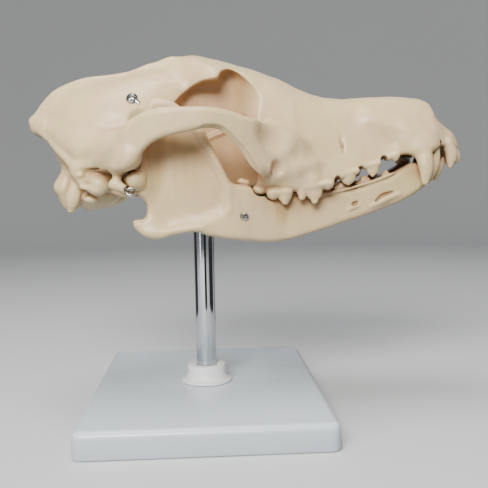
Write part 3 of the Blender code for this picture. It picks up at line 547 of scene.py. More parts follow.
def strand(points, radii, flat=(1.0, 1.0, 1.0), stations=12):
    """A limb along a smooth line through the points."""
    points = np.array(points, float)
    places = np.linspace(0, len(points) - 1, stations)
    steps = np.arange(len(points))
    line = [[curve(t, steps, points[:, k]) for k in range(3)] for t in places]
    return limb(line, [curve(t, steps, radii) for t in places], flat)


def casing(x, top, bottom, low_width, high_width, arch=0.0, corner=4.0, sill=3.0):
    """A long body with a roof, a floor and leaning sides, each given along x.

    low_width and high_width are half widths at the floor and at the roof, arch is how far the
    roof falls at its edges, and corner and sill round the roof's and the floor's edges.
    """
    arch = np.broadcast_to(np.asarray(arch, float), np.shape(x)).copy()
    low = (x[0], 0.0, min(bottom))
    high = (x[-1], max(max(low_width), max(high_width)), max(top))

    def distance(px, py, pz):
        roof_z = curve(px, x, top)
        floor_z = curve(px, x, bottom)
        wide = curve(px, x, low_width)
        narrow = curve(px, x, high_width)
        height = np.maximum(roof_z - floor_z, 1.0)
        share = np.clip((pz - floor_z) / height, -0.2, 1.2)
        lean = (wide - narrow) / height
        side = (np.abs(py) - (wide + (narrow - wide) * share)) / np.sqrt(1 + lean * lean)
        fall = curve(px, x, arch)
        roof = pz - (roof_z - fall * (py / np.maximum(narrow, 1.0)) ** 2)
        body = smooth_max(smooth_max(side, roof, corner), floor_z - pz, sill)
        return smooth_max(smooth_max(body, x[0] - px, 2.0), px - x[-1], 2.0)

    return Form(low, high, distance)


def rounded(points, per_span=8):
    """A closed smooth outline through the points, as a fine polygon."""
    points = np.array(points, float)
    before, after = np.roll(points, 1, axis=0), np.roll(points, -1, axis=0)
    after2 = np.roll(points, -2, axis=0)
    fine = []
    for t in np.arange(per_span) / per_span:
        fine.append(
            0.5
            * (
                2 * points
                + (after - before) * t
                + (2 * before - 5 * points + 4 * after - after2) * t * t
                + (3 * points - before - 3 * after + after2) * t**3
            )
        )
    return np.stack(fine, axis=1).reshape(-1, 2)


def outline_distance(outline, x, z):
    """Signed distance from each (x, z) to a closed outline, negative inside."""
    nearest = np.full(np.broadcast(x, z).shape, 1e9, np.float32)
    inside = np.zeros(nearest.shape, bool)
    for (ax, az), (bx, bz) in zip(outline, np.roll(outline, -1, axis=0)):
        ex, ez = bx - ax, bz - az
        t = np.clip(((x - ax) * ex + (z - az) * ez) / max(ex * ex + ez * ez, 1e-9), 0, 1)
        nearest = np.minimum(nearest, (x - ax - t * ex) ** 2 + (z - az - t * ez) ** 2)
        if az != bz:
            spans = (az > z) != (bz > z)
            inside ^= spans & (x < ax + (z - az) * ex / ez)
    nearest = np.sqrt(nearest)
    return np.where(inside, -nearest, nearest)


SLOPE_REACH = 5.0


def plate(outline, middle, thickness, edge=2.0):
    """A curved plate: its outline seen from the side, its middle y and its thickness along x."""
    fine = rounded(outline)
    knots = np.array(middle, float)
    sizes = np.array(thickness, float)
    low = (fine[:, 0].min(), max(0.0, knots[:, 1].min() - sizes[:, 1].max()), fine[:, 1].min())
    high = (fine[:, 0].max(), knots[:, 1].max() + sizes[:, 1].max(), fine[:, 1].max())

    def distance(x, y, z):
        rim = outline_distance(fine, x[:, 0, :], z[0, :, :])[:, None, :]
        centre = curve(x, knots[:, 0], knots[:, 1])
        ahead = curve(x + SLOPE_REACH, knots[:, 0], knots[:, 1])
        behind = curve(x - SLOPE_REACH, knots[:, 0], knots[:, 1])
        slope = (ahead - behind) / (2 * SLOPE_REACH)
        half = curve(x, sizes[:, 0], sizes[:, 1]) / 2
        side = np.abs(y - centre) / np.sqrt(1 + slope * slope) - half
        return smooth_max(rim, side, edge)

    return Form(low, high, distance)


def bore(start, end, radius):
    """A straight round hole with flat ends."""
    start, end = np.array(start, float), np.array(end, float)
    low = np.minimum(start, end) - radius
    high = np.maximum(start, end) + radius
    length = np.linalg.norm(end - start)
    axis = (end - start) / length

    def distance(x, y, z):
        dx, dy, dz = x - start[0], y - start[1], z - start[2]
        along = dx * axis[0] + dy * axis[1] + dz * axis[2]
        away = np.sqrt(np.maximum(dx * dx + dy * dy + dz * dz - along * along, 0.0))
        return np.maximum(away - radius, np.maximum(-along, along - length))

    return Form(low, high, distance)


# The cranium's bones

PROFILE = (
    (-89.4, 151.8), (-87.4, 157.2), (-84.0, 162.8), (-80.0, 167.6), (-72.0, 172.9), (-60.0, 176.9),
    (-45.0, 177.8), (-34.0, 179.3), (-24.0, 182.8), (-16.0, 186.2), (-9.0, 187.9), (-2.0, 187.9),
    (5.0, 186.2), (20.0, 182.4), (31.0, 178.9), (42.0, 174.6), (51.0, 170.2), (59.0, 167.0),
    (66.0, 165.2), (73.0, 164.1), (90.0, 165.0), (104.0, 165.2), (116.0, 164.0), (121.0, 162.4),
    (123.5, 158.8), (125.0, 156.4), (127.6, 152.8), (132.6, 148.2), (137.2, 142.6), (139.4, 138.0),
)
CRANIUM_LOW = (-93.0, 0.0, 102.0)
CRANIUM_HIGH = (144.0, 66.0, 193.0)


def ridge_height(x):
    """The skull's top line above the middle plane."""
    return curve(x, [p[0] for p in PROFILE], [p[1] for p in PROFILE])


def make_braincase(clay):
    clay.add(egg((-40.0, 0.0, 149.0), (38.0, 30.0, 26.5), pitch=12))
    clay.add(egg((-14.0, 0.0, 162.0), (26.0, 18.5, 19.0), pitch=10), 14)
    clay.add(egg((-58.0, 0.0, 141.0), (14.0, 24.0, 20.0)), 10)
    clay.add(egg((-60.0, 0.0, 157.5), (22.0, 12.0, 15.0), pitch=14), 9)
    clay.add(casing(
        x=(-68.0, -50.0, -30.0, -10.0, 0.0),
        top=(134.0, 134.0, 138.0, 142.0, 146.0),
        bottom=(115.0, 116.5, 121.0, 126.5, 130.0),
        low_width=(11.0, 12.0, 13.0, 10.0, 9.0),
        high_width=(16.0, 22.0, 22.0, 13.0, 12.0),
        corner=5, sill=4), 6)


NUCHAL_CREST = (
    (-88.4, 0.0, 154.6), (-85.4, 3.5, 151.0), (-81.8, 7.5, 147.4), (-78.4, 11.0, 144.6),
    (-74.8, 15.0, 141.2), (-70.4, 20.0, 137.0), (-66.4, 25.0, 133.4), (-62.4, 29.5, 130.4),
    (-56.0, 33.5, 129.8), (-45.0, 35.0, 130.6),
)


def make_crests(clay):
    """The blade along the top and the edge that divides the temples from the back of the skull."""
    along = (-88.2, -84.0, -78.0, -70.0, -60.0, -48.0, -36.0, -22.0)
    web = [(x, ridge_height(x) - 0.5) for x in along]
    web += [(-14.0, 184.0), (-14.0, 172.0), (-36.0, 160.0), (-66.0, 152.0), (-84.0, 148.0)]
    clay.add(plate(web, [(-90, 0.0), (0, 0.0)], [(-90, 3.0), (-40, 3.2), (-14, 5.0)], edge=1.4), 8)
    clay.cut(egg((-93.0, 10.5, 139.0), (13.0, 9.5, 11.5), pitch=-28), 3)
    clay.cut(egg((-82.0, 21.0, 126.0), (11.0, 8.0, 9.0), pitch=-20), 3)
    clay.add(limb([(-84.6, 2.0, 153.8), (-78.6, 7.0, 149.4), (-70.0, 12.0, 146.0),
                   (-60.0, 20.0, 140.0)], [2.2, 3.8, 6.0, 8.0]), 5)
    clay.add(egg((-78.5, 0.0, 157.5), (12.0, 5.0, 4.5), pitch=45), 5)
    clay.add(strand(NUCHAL_CREST, [1.3, 1.2, 1.1, 1.1, 1.2, 1.4, 1.6, 1.9, 2.2, 2.6], stations=28), 3.0)
    clay.add(strand([(-87.6, 0.0, 155.0), (-84.0, 0.0, 149.6), (-78.6, 0.0, 145.0),
                     (-72.5, 0.0, 135.0)], [2.0, 1.5, 1.1, 0.8]), 2.5)


def make_occiput(clay):
    """The occipital condyles, their hollow and the long processes beside them."""
    clay.add(egg((-62.0, 0.0, 140.0), (9.0, 16.0, 12.0), pitch=-40), 7)
    clay.add(limb([(-67.0, 10.0, 130.0), (-70.6, 11.2, 120.0), (-69.0, 8.5, 112.6)],
                  [3.8, 5.8, 4.4]), 3)
    clay.add(strand([(-58.6, 25.0, 130.0), (-61.6, 26.0, 121.4), (-63.6, 26.6, 114.8),
                     (-65.4, 25.2, 108.8)], [4.8, 3.2, 3.7, 2.1], flat=(1.12, 0.9, 1.0)), 1.8)
    clay.cut(strand([(-57.6, 31.0, 119.6), (-58.4, 29.5, 115.6), (-60.4, 27.0, 108.4)], [0.6, 1.0, 0.9],
                    flat=(1.0, 2.6, 1.0)), 0.8)
    clay.cut(egg((-60.2, 17.5, 112.5), (4.5, 4.5, 6.0)), 1.5)


def make_ear_region(clay):
    """The bulla, the mouth of the ear and the rough bone round it."""
    clay.add(egg((-51.5, 18.0, 117.8), (13.5, 10.5, 8.8), pitch=22), 2.0)
    clay.add(limb([(-60.0, 30.0, 127.0), (-58.0, 31.0, 122.5)], [4.0, 3.0]), 3)
    clay.add(egg((-51.0, 29.5, 124.2), (8.5, 5.2, 4.4)), 2.0)
    clay.add(egg((-49.6, 32.4, 121.2), (6.0, 5.4, 4.4), pitch=-24, yaw=10), 1.2)
    clay.add(egg((-51.0, 33.0, 118.4), (4.8, 4.4, 3.2), pitch=-8), 1.0)
    clay.add(limb([(-58.2, 33.0, 119.8), (-53.6, 34.0, 118.8)], [1.4, 2.0]), 0.8)
    clay.add(egg((-58.8, 32.4, 125.4), (2.4, 3.0, 1.9), pitch=12), 0.7)
    clay.add(limb([(-45.8, 30.0, 119.0), (-38.0, 28.5, 115.4)], [2.2, 1.6]), 1.5)
    clay.add(egg((-55.6, 25.5, 113.6), (4.4, 4.4, 2.8), pitch=-6), 0.8)
    clay.cut(strand([(-62.0, 36.0, 124.2), (-59.0, 36.2, 122.6), (-55.6, 36.8, 120.9)],
                    [0.6, 0.8, 0.6]), 0.8)
    clay.cut(strand([(-57.4, 36.2, 127.6), (-53.0, 36.8, 128.0), (-48.2, 38.2, 128.5)], [0.35, 0.6, 0.3],
                    flat=(1.0, 3.0, 1.0)), 0.5)
    clay.cut(egg((-53.0, 38.0, 126.4), (4.0, 2.6, 1.3), pitch=-8), 1.0)
    clay.cut(egg((-42.6, 40.0, 124.6), (3.0, 3.4, 4.2), pitch=-25), 2.4)


ARCH_OUTLINE = (
    (52.0, 140.0), (44.0, 145.5), (36.0, 148.8), (28.0, 150.0), (21.0, 151.2), (14.0, 153.2),
    (6.0, 154.8), (-4.0, 155.2), (-15.0, 155.0), (-25.0, 153.6), (-32.0, 149.5), (-39.0, 142.5),
    (-46.0, 135.0),
    (-49.0, 128.5), (-40.0, 126.5), (-33.5, 128.0), (-27.0, 134.5), (-21.0, 139.4), (-13.0, 141.8),
    (-4.0, 143.8), (4.0, 144.6), (9.5, 143.0), (15.0, 138.6), (21.0, 132.2), (25.0, 127.0),
    (28.5, 123.6), (32.0, 125.0), (38.0, 126.5), (46.0, 129.0), (52.0, 133.0),
)
ARCH_OUTER = (
    (-52, 36.0), (-46, 39.5), (-40, 46.0), (-33, 53.0), (-24, 58.0), (-12, 60.4), (0, 59.4),
    (10, 56.4), (20, 51.6), (28, 46.4), (36, 40.6), (44, 35.6), (54, 30.0),
)
ARCH_THICKNESS = (
    (-52, 22.0), (-44, 20.0), (-36, 13.0), (-28, 6.6), (-20, 4.8), (-8, 4.2), (4, 4.4),
    (14, 5.0), (24, 6.4), (34, 10.0), (46, 14.0), (54, 14.0),
)
# Runs beside the arch's lower front edge, which it turns into a narrow face that looks down
ARCH_UNDERSIDE = (
    (-5.0, 60.8, 139.8), (2.4, 59.8, 142.4), (8.4, 57.8, 141.4), (12.6, 56.2, 137.9),
    (18.4, 53.4, 131.8), (22.4, 51.0, 126.6), (26.0, 48.6, 122.0),
)


def make_arch(clay):
    """The cheek arch with its broad roots and the process behind the jaw joint."""
    middle = [(x, y - curve(x, *zip(*ARCH_THICKNESS)) / 2) for x, y in ARCH_OUTER]
    clay.add(plate(ARCH_OUTLINE, middle, ARCH_THICKNESS, edge=3.4), 7)
    clay.add(limb([(-56.0, 28.0, 136.0), (-42.0, 38.0, 139.0)], [7.0, 6.5]), 8)
    clay.add(limb([(-33.0, 50.0, 132.5), (-36.0, 40.0, 132.0), (-38.0, 28.0, 132.0)],
                  [4.5, 5.5, 6.0]), 5)
    clay.add(limb([(-39.5, 41.0, 128.0), (-39.3, 41.0, 122.0), (-37.2, 41.0, 117.4),
                   (-34.0, 41.0, 115.4)], [3.8, 2.8, 1.9, 1.1], flat=(1.0, 2.4, 1.0)), 2.5)
    clay.add(limb([(35.0, 36.0, 123.8), (45.0, 34.0, 126.0), (55.0, 29.6, 128.5)], [3.8, 4.2, 1.8]), 6)
    clay.add(strand([(12.0, 55.6, 141.6), (19.0, 52.0, 134.8), (25.0, 47.6, 129.4),
                     (30.2, 43.4, 126.8)], [0.4, 1.3, 1.8, 2.2]), 3.0)
    clay.add(egg((30.6, 42.6, 126.8), (3.2, 3.2, 3.4)), 1.5)
    clay.cut(egg((36.4, 42.6, 126.6), (3.4, 3.0, 3.6), yaw=-34), 2.0)
    clay.cut(egg((35.4, 42.6, 143.4), (6.5, 3.4, 5.5), yaw=-34), 8)
    clay.cut(strand(ARCH_UNDERSIDE, [2.4, 4.2, 5.0, 5.0, 4.8, 4.2, 3.4]), 0.8)
    clay.add(strand([(-30.0, 52.0, 147.4), (-38.0, 46.4, 141.0), (-46.0, 40.4, 134.6),
                     (-53.0, 36.4, 130.2)], [1.5, 2.0, 2.0, 1.4]), 4)


FACE_X = (
    -38.0, -26.0, -14.0, -4.0, 4.0, 8.0, 13.0, 22.0, 32.0, 42.0, 54.0, 66.0, 78.0, 92.0, 104.0,
    113.0, 121.0, 125.0, 129.0, 134.0, 138.0, 139.6,
)


def make_face(clay):
    """Frontal bone, maxilla and nasals as one body along x, from the brow to the nose."""
    clay.add(casing(
        x=FACE_X,
        top=[ridge_height(x) - curve(x, (-38, -26, -10), (3.0, 1.2, 0.0)) for x in FACE_X],
        bottom=(168.0, 168.0, 169.0, 169.0, 168.0, 167.0, 165.0, 156.0, 140.0, 121.0, 115.8,
                119.0, 124.5, 128.6, 133.6, 136.4, 138.2, 138.0, 137.4, 136.6, 136.2, 136.2),
        low_width=(3.5, 6.0, 12.0, 20.0, 27.0, 29.5, 28.0, 25.0, 27.0, 31.5, 34.5,
                   30.5, 25.5, 21.5, 20.2, 20.6, 18.8, 17.2, 15.4, 12.6, 8.6, 6.0),
        high_width=(2.5, 4.5, 10.0, 18.0, 25.0, 27.5, 25.5, 21.0, 19.0, 18.0, 16.0,
                    13.6, 11.8, 10.8, 10.4, 10.2, 9.8, 10.0, 10.0, 9.2, 6.5, 4.5),
        arch=(2.0, 3.5, 6.0, 8.0, 10.0, 11.0, 9.5, 7.0, 6.5, 6.5, 5.5,
              4.0, 3.0, 2.6, 2.5, 2.5, 2.5, 2.5, 2.5, 2.0, 1.5, 1.5),
        corner=6, sill=3), 5)
    clay.add(casing(
        x=(-22.0, -8.0, 6.0, 20.0, 34.0, 46.0),
        top=(170.0, 172.0, 174.0, 174.0, 168.0, 160.0),
        bottom=(128.0, 124.0, 120.5, 119.0, 118.5, 119.0),
        low_width=(11.0, 11.5, 12.5, 14.0, 20.0, 26.0),
        high_width=(18.0, 17.0, 15.5, 15.5, 18.0, 20.0),
        corner=3, sill=3), 4)
    clay.add(limb([(29.0, 30.5, 120.5), (40.0, 31.5, 120.0), (54.0, 31.0, 120.0)],
                  [3.6, 4.6, 4.6]), 4)
    clay.add(limb([(115.0, 15.4, 139.0), (104.0, 14.2, 147.0), (88.0, 13.0, 152.0)],
                  [6.4, 5.2, 3.5]), 8)
    clay.add(limb([(105.5, 17.0, 140.0), (110.6, 18.6, 136.6), (114.4, 19.8, 132.0)],
                  [3.6, 3.8, 3.4], flat=(1.0, 0.8, 1.0)), 2)
    clay.cut(egg((26.0, 0.0, 188.4), (26.0, 4.0, 7.0), pitch=-15), 4)


ORBIT_OUTLINE = (
    (8.2, 172.6), (10.6, 176.0), (15.0, 177.6), (21.0, 174.8), (29.0, 169.4), (35.6, 163.0),
    (38.4, 156.0), (38.2, 147.0), (34.0, 136.0), (29.0, 127.0), (24.0, 117.0), (0.0, 117.0),
    (-22.0, 126.0), (-19.0, 146.0), (-15.0, 157.0), (-11.6, 162.6), (-6.4, 167.6), (0.6, 171.4),
)
ORBIT_INNER = (
    (-22, 32.0), (-16, 23.0), (-12, 14.5), (-7, 12.0), (2, 12.0), (16, 12.6), (19.5, 14.2), (24, 18.0),
    (31, 23.0), (38, 28.0),
)
ORBIT_OUTER = 70.0
ORBIT_EDGE = 5.0
ORBIT_WALL_SLOPE = 0.85
# The wall leans out below this height and in front of this x, by so much for each millimetre down
LEAN_TOP = 162.0
LEAN_DEPTH = 16.0
LEAN_START = 16.0
LEAN_RUN = 14.0
LEAN_SLOPE = 0.42


def orbit_hollow():
    """The eye socket and the space below it, as deep as its inner wall, which leans out below the eye."""
    fine = rounded(ORBIT_OUTLINE)
    low = (fine[:, 0].min(), 8.0, fine[:, 1].min())
    high = (fine[:, 0].max(), ORBIT_OUTER, fine[:, 1].max())

    def distance(x, y, z):
        rim = outline_distance(fine, x[:, 0, :], z[0, :, :])[:, None, :]
        below = np.clip(LEAN_TOP - z, 0.0, LEAN_DEPTH) * LEAN_SLOPE
        front = np.clip((x - LEAN_START) / LEAN_RUN, 0.0, 1.0)
        inner = curve(x, *zip(*ORBIT_INNER)) + below * front * front
        wall = (inner - y) * ORBIT_WALL_SLOPE
        return smooth_max(rim, wall, ORBIT_EDGE)

    return Form(low, high, distance)


def cut_orbit(clay):
    """The hollow, the edge along its inner wall and the small openings in its depth."""
    clay.cut(orbit_hollow(), 1.0)
    clay.add(strand([(-7.0, 11.0, 137.0), (2.7, 12.0, 143.2), (9.7, 12.6, 146.0), (19.0, 14.4, 148.4)],
                    [0.5, 0.6, 0.6, 0.5]), 2.0)
    clay.cut(bore((1.0, 16.0, 147.5), (-5.0, 9.0, 148.5), 2.0), 1.2)
    clay.cut(bore((-9.0, 17.0, 141.0), (-14.0, 10.0, 142.0), 2.2), 1.2)
    clay.cut(bore((28.0, 26.0, 131.0), (34.0, 19.0, 133.0), 2.2), 1.5)


# The gaps between the upper premolars, as (x, z)
SCALLOPS = ((94.0, 130.6), (81.2, 125.4), (68.3, 120.6))
SCALLOP_RADIUS = 2.2


def cut_openings(clay):
    """The nose, the spinal cord's hole, the mouth's roof, the slit in the cheek and the teeth's gaps."""
    clay.cut(limb([(145.0, 0.0, 158.5), (121.0, 0.0, 152.5), (96.0, 0.0, 150.0)],
                  [12.0, 8.2, 5.5], flat=(1.0, 1.0, 1.12)), 1.5)
    clay.cut(limb([(-92.0, 0.0, 122.0), (-70.0, 0.0, 125.0), (-52.0, 0.0, 136.0)],
                  [8.5, 7.5, 7.0], flat=(1.0, 1.15, 1.0)), 2)
    clay.cut(casing(
        x=(28.0, 40.0, 60.0, 80.0, 100.0, 120.0, 132.0),
        top=(122.0, 122.0, 125.0, 130.5, 137.0, 140.6, 140.0),
        bottom=(100.0,) * 7,
        low_width=(19.0, 24.0, 23.0, 17.0, 13.5, 11.0, 7.0),
        high_width=(14.0, 17.0, 15.0, 11.0, 9.0, 7.0, 4.0), corner=5), 2)
    clay.cut(casing(
        x=(-24.0, -8.0, 6.0, 20.0),
        top=(131.0, 134.0, 136.0, 136.0),
        bottom=(100.0,) * 4,
        low_width=(8.0, 8.5, 9.0, 9.5),
        high_width=(7.0, 7.2, 7.5, 8.0), corner=5), 2)
    clay.cut(limb([(73.0, 25.0, 139.8), (71.8, 20.8, 139.2)], [0.6, 0.45], flat=(1.0, 1.0, 5.0)), 2.0)
    for x, z in SCALLOPS:
        gap = limb([(x, 8.0, z), (x, 34.0, z)], [SCALLOP_RADIUS] * 2, flat=(0.8, 1.0, 1.0))
        clay.cut(gap, 1.2)


def make_nasal_scrolls(clay):
    """The partition and the rolled plates inside the nose."""
    clay.add(plate(((100, 142), (124, 143), (119, 159), (100, 156)), [(90, 0), (130, 0)],
                   [(90, 1.6), (130, 1.3)], edge=0.5), 0.6)
    for y, z, radius in ((3.6, 145.2, 1.3), (5.9, 149.2, 1.4), (3.2, 149.6, 1.2), (4.8, 153.6, 1.3)):
        clay.add(strand([(98.0, y * 0.8, z - 0.5), (110.0, y, z + 0.6), (120.0, y, z + 1.8)],
                        [radius, radius, radius * 0.7]), 0.3)


def mark_palate(clay):
    """The slots behind the incisors and the small openings of the palate and the skull's floor."""
    clay.cut(limb([(113.5, 4.4, 139.2), (122.0, 3.8, 140.2)], [1.7, 1.5], flat=(1.0, 1.0, 1.6)), 0.8)
    clay.cut(bore((60.0, 11.5, 121.0), (57.0, 11.5, 129.0), 1.3), 0.7)
    clay.cut(bore((52.0, 12.5, 119.0), (50.0, 12.5, 127.0), 0.9), 0.5)
    clay.cut(bore((-22.0, 13.6, 127.0), (-20.0, 11.0, 138.0), 1.8), 0.9)
    clay.cut(bore((-63.5, 12.5, 113.0), (-58.0, 10.0, 122.0), 1.5), 0.8)
    clay.cut(bore((-38.6, 12.0, 116.0), (-40.0, 9.0, 125.0), 1.6), 0.9)


# Teeth

# name, x, y, gum line z, length, width, and cusps as (x from the middle, height, length)
UPPER_TEETH = (
    ("second_molar", 28.4, 31.0, 117.4, 6.8, 8.0, ((-1.4, 2.6, 4.4), (1.6, 2.9, 4.4))),
    ("first_molar", 38.2, 33.4, 116.4, 13.0, 8.2, ((-3.5, 4.9, 7.4), (2.7, 7.2, 7.8))),
    ("carnassial", 56.3, 32.6, 119.2, 18.2, 6.8,
     ((-7.0, 7.0, 6.6), (-3.4, 5.2, 6.0), (-0.8, 10.0, 9.4), (6.0, 4.2, 6.8))),
    ("third_premolar", 74.4, 24.8, 125.2, 11.2, 4.8,
     ((-0.2, 7.2, 8.8), (-4.2, 2.4, 4.0), (3.8, 2.2, 4.0))),
    ("second_premolar", 87.0, 21.0, 129.2, 9.8, 4.4,
     ((0.4, 7.2, 7.8), (-3.4, 2.2, 3.6), (3.4, 2.0, 3.6))),
    ("first_premolar", 99.4, 19.2, 134.0, 5.6, 4.0, ((0.4, 4.0, 5.2),)),
)
LOWER_TEETH = (
    ("third_molar", 20.6, 30.6, 119.6, 6.4, 5.4, ((-1.2, 2.4, 4.4), (1.4, 2.2, 4.0))),
    ("second_molar", 28.0, 28.4, 116.4, 8.5, 6.0, ((-1.8, 2.2, 4.6), (1.8, 2.6, 5.0))),
    ("carnassial", 43.0, 25.6, 114.4, 20.0, 6.4,
     ((-6.6, 3.0, 6.6), (0.0, 7.6, 9.5), (6.6, 5.6, 7.5))),
    ("fourth_premolar", 60.0, 22.2, 114.6, 11.5, 4.8, ((0.4, 6.2, 9.0), (-4.2, 2.8, 3.6))),
    ("third_premolar", 72.0, 19.8, 115.8, 10.0, 4.4, ((0.4, 5.2, 8.0), (-3.2, 2.2, 3.4))),
    ("second_premolar", 83.4, 17.6, 118.2, 9.0, 4.2, ((0.6, 4.9, 7.0), (-2.8, 2.0, 3.2))),
    ("first_premolar", 95.6, 15.6, 121.8, 5.0, 3.8, ((0.2, 4.0, 4.8),)),
)
UPPER_CANINE = (
    [(111.4, 14.4, 148.0), (113.8, 18.2, 139.0), (115.1, 20.3, 130.2), (115.6, 20.9, 125.6),
     (115.2, 21.1, 120.6), (115.1, 21.1, 119.2)],
    [4.0, 4.4, 4.1, 3.3, 2.0, 1.6],
)
LOWER_CANINE = (
    [(113.0, 9.5, 118.4), (118.6, 12.0, 123.2), (121.8, 14.2, 129.5), (122.5, 15.6, 135.4),
     (122.5, 16.2, 138.8)],
    [4.4, 4.4, 3.1, 2.0, 1.2],
)
CANINE_FLAT = (1.0, 0.8, 1.0)
NECK_DEPTH = 1.3
ROW_SLOPE = 0.6
MOLAR_TIP = 1.8
PREMOLAR_TIP = 1.15
# A crown's neck and cusps as shares of its width, and the blends between cusps and at the root's end
NECK_SHARE = 0.44
CUSP_SHARE = 0.8
CUSP_BLEND = 0.8
ROOT_BLEND = 1.8


def crown(x, y, gum, slope, way, length, width, tip, cusps):
    """A cheek tooth's crown: a swollen neck along the gum line and rounded cusps that grow from it."""
    neck = width * NECK_SHARE
    reach = length / 2 - neck
    forms = [limb([(x + side * reach, y, gum + way * 0.8 + slope * side * reach) for side in (-1, 1)],
                  [neck, neck], flat=(1.0, 1.0, 0.75))]
    for offset, height, size in cusps:
        slim = float(np.clip(width * CUSP_SHARE / size, 0.5, 1.0))
        half = size * 0.5
        foot = gum + slope * offset
        forms.append(limb([
            (x + offset * 0.88, y - 0.3, foot),
            (x + offset * 0.95, y, foot + way * (height - tip) * 0.5),
            (x + offset, y + 0.05 * height, foot + way * (height - tip)),
        ], [half, half * 0.88, tip], flat=(1.0, slim, 1.0)))
    low = np.min([f.low for f in forms], axis=0)
    high = np.max([f.high for f in forms], axis=0)

    def distance(px, py, pz):
        body = forms[0].distance(px, py, pz)
        for form in forms[1:]:
            body = smooth_min(body, form.distance(px, py, pz), CUSP_BLEND)
        line = gum + slope * (px - x)
        return smooth_max(body, (line - pz) * way - NECK_DEPTH, ROOT_BLEND)

    return Form(low, high, distance)


def make_cheek_teeth(clay, teeth, way):
    """Premolars and molars; way is -1 for teeth that point down and 1 for those that point up."""
    slopes = ROW_SLOPE * np.gradient([tooth[3] for tooth in teeth], [tooth[1] for tooth in teeth])
    for (name, x, y, gum, length, width, cusps), slope in zip(teeth, slopes):
        tip = PREMOLAR_TIP if name.endswith("premolar") or way > 0 else MOLAR_TIP
        clay.add(crown(x, y, gum, slope, way, length, width, tip, cusps), 0.6)
        if way > 0:
            continue
        if name.endswith("_molar"):
            inside = y - width * 0.72
            clay.add(limb([(x - 0.6, inside, gum + 0.4), (x - 0.8, inside - 2.4, gum + 0.4)],
                          [length * 0.30, length * 0.22], flat=(1.0, 1.0, 0.6)), 1.0)
            clay.add(limb([(x - 0.4, inside - 1.2, gum), (x - 0.4, inside - 1.2, gum - 1.9)],
                          [length * 0.2, 0.8]), 0.7)


# y, and the middle of the root, the crown and the tip as (x, z, radius)
UPPER_INCISORS = (
    (12.2, (129.6, 139.4, 3.3), (131.8, 133.2, 3.2), (131.2, 127.7, 1.5)),
    (7.4, (133.0, 138.0, 2.6), (136.0, 133.0, 2.4), (136.8, 130.2, 1.5)),
    (2.6, (134.8, 137.4, 2.4), (137.6, 133.0, 2.3), (138.4, 130.4, 1.5)),
)
LOWER_INCISORS = (
    (7.6, (124.0, 121.6, 2.4), (127.4, 127.6, 2.3), (129.0, 131.2, 1.4)),
    (4.4, (125.0, 121.6, 2.0), (128.6, 127.8, 1.8), (130.2, 131.0, 1.2)),
    (1.5, (125.4, 121.6, 1.7), (129.0, 127.4, 1.6), (130.0, 129.8, 1.1)),
)


def make_front_teeth(clay, canine, incisors):
    """The canine and the three incisors of one side."""
    points, radii = canine
    clay.add(strand(points, radii, flat=CANINE_FLAT, stations=14), 1.0)
    for y, *stations in incisors:
        clay.add(strand([(x, y, z) for x, z, r in stations], [r for x, z, r in stations],
                        stations=7), 0.6)


# The mandible

JAW_OUTLINE = (
    (-33.0, 102.4), (-32.2, 99.6), (-29.2, 96.4), (-25.0, 94.2), (-20.0, 94.0), (-13.0, 96.4),
    (-5.0, 97.2), (3.0, 94.8), (12.0, 93.2), (24.0, 91.3), (36.0, 90.4), (47.0, 92.0),
    (59.0, 95.2), (73.0, 99.2), (87.0, 103.4), (99.0, 107.4), (108.0, 111.0), (116.0, 115.8),
    (122.5, 122.0), (121.0, 126.6), (112.0, 129.6), (105.0, 126.8), (97.0, 122.6), (84.0, 118.4),
    (73.0, 115.6), (62.0, 114.6), (46.0, 114.4), (30.0, 116.6), (22.0, 118.8), (14.4, 120.6),
    (9.4, 126.0), (5.8, 134.0), (2.6, 141.6), (-1.4, 148.0), (-6.4, 154.0), (-12.4, 159.2),
    (-18.4, 161.6), (-23.6, 160.8), (-26.0, 156.0), (-26.4, 146.0), (-26.8, 136.0), (-28.0, 129.0),
    (-33.0, 126.6), (-36.0, 122.4), (-34.6, 118.6),
    (-30.0, 117.4), (-27.0, 114.4), (-26.6, 109.0), (-27.4, 104.8), (-30.0, 103.2),
)
JAW_OUTER = (
    (-36, 41.0), (-20, 41.2), (0, 40.4), (12, 38.4), (24, 34.8), (40, 30.0), (60, 26.4),
    (80, 22.4), (95, 19.2), (108, 16.4), (116, 14.6), (124, 12.0),
)
JAW_THICKNESS = (
    (-36, 5.0), (-20, 5.0), (0, 6.0), (12, 8.4), (24, 10.4), (40, 11.2), (60, 10.6), (80, 9.6),
    (95, 10.4), (108, 12.4), (116, 12.6), (124, 11.0),
)
MASSETER_OUTLINE = (
    (-25.6, 104.6), (-19.5, 100.6), (-8.0, 100.8), (2.0, 102.8), (9.6, 106.4), (11.8, 113.6),
    (9.4, 123.0), (4.4, 132.6), (-1.0, 142.0), (-8.0, 150.0), (-15.0, 156.0), (-22.0, 154.0),
    (-23.6, 140.0), (-23.6, 124.0), (-26.0, 114.0),
)
MASSETER_CUTTER = 8.0
MASSETER_DEPTH = ((-28, 0.9), (-18, 1.5), (-4, 2.0), (8, 2.1), (16, 1.9))
CONDYLE = ((-31.4, 31.0, 122.4), (-31.6, 44.0, 122.6))
CONDYLE_RADII = (4.2, 4.6)
MANDIBLE_LOW = (-41.0, 0.0, 86.0)
MANDIBLE_HIGH = (134.0, 58.0, 162.0)
JOINT_SPACE = 1.0
CANINE_SPACE = 1.3
BITE_SPACE = 0.9
# The rim of the tooth row along the jaw's outer side, as (x, z)
SOCKET_RIM = (
    (52.0, 113.2), (60.0, 113.9), (67.0, 114.9), (73.5, 116.2), (81.1, 118.1), (88.6, 120.1),
    (96.3, 122.8), (100.0, 124.2),
)
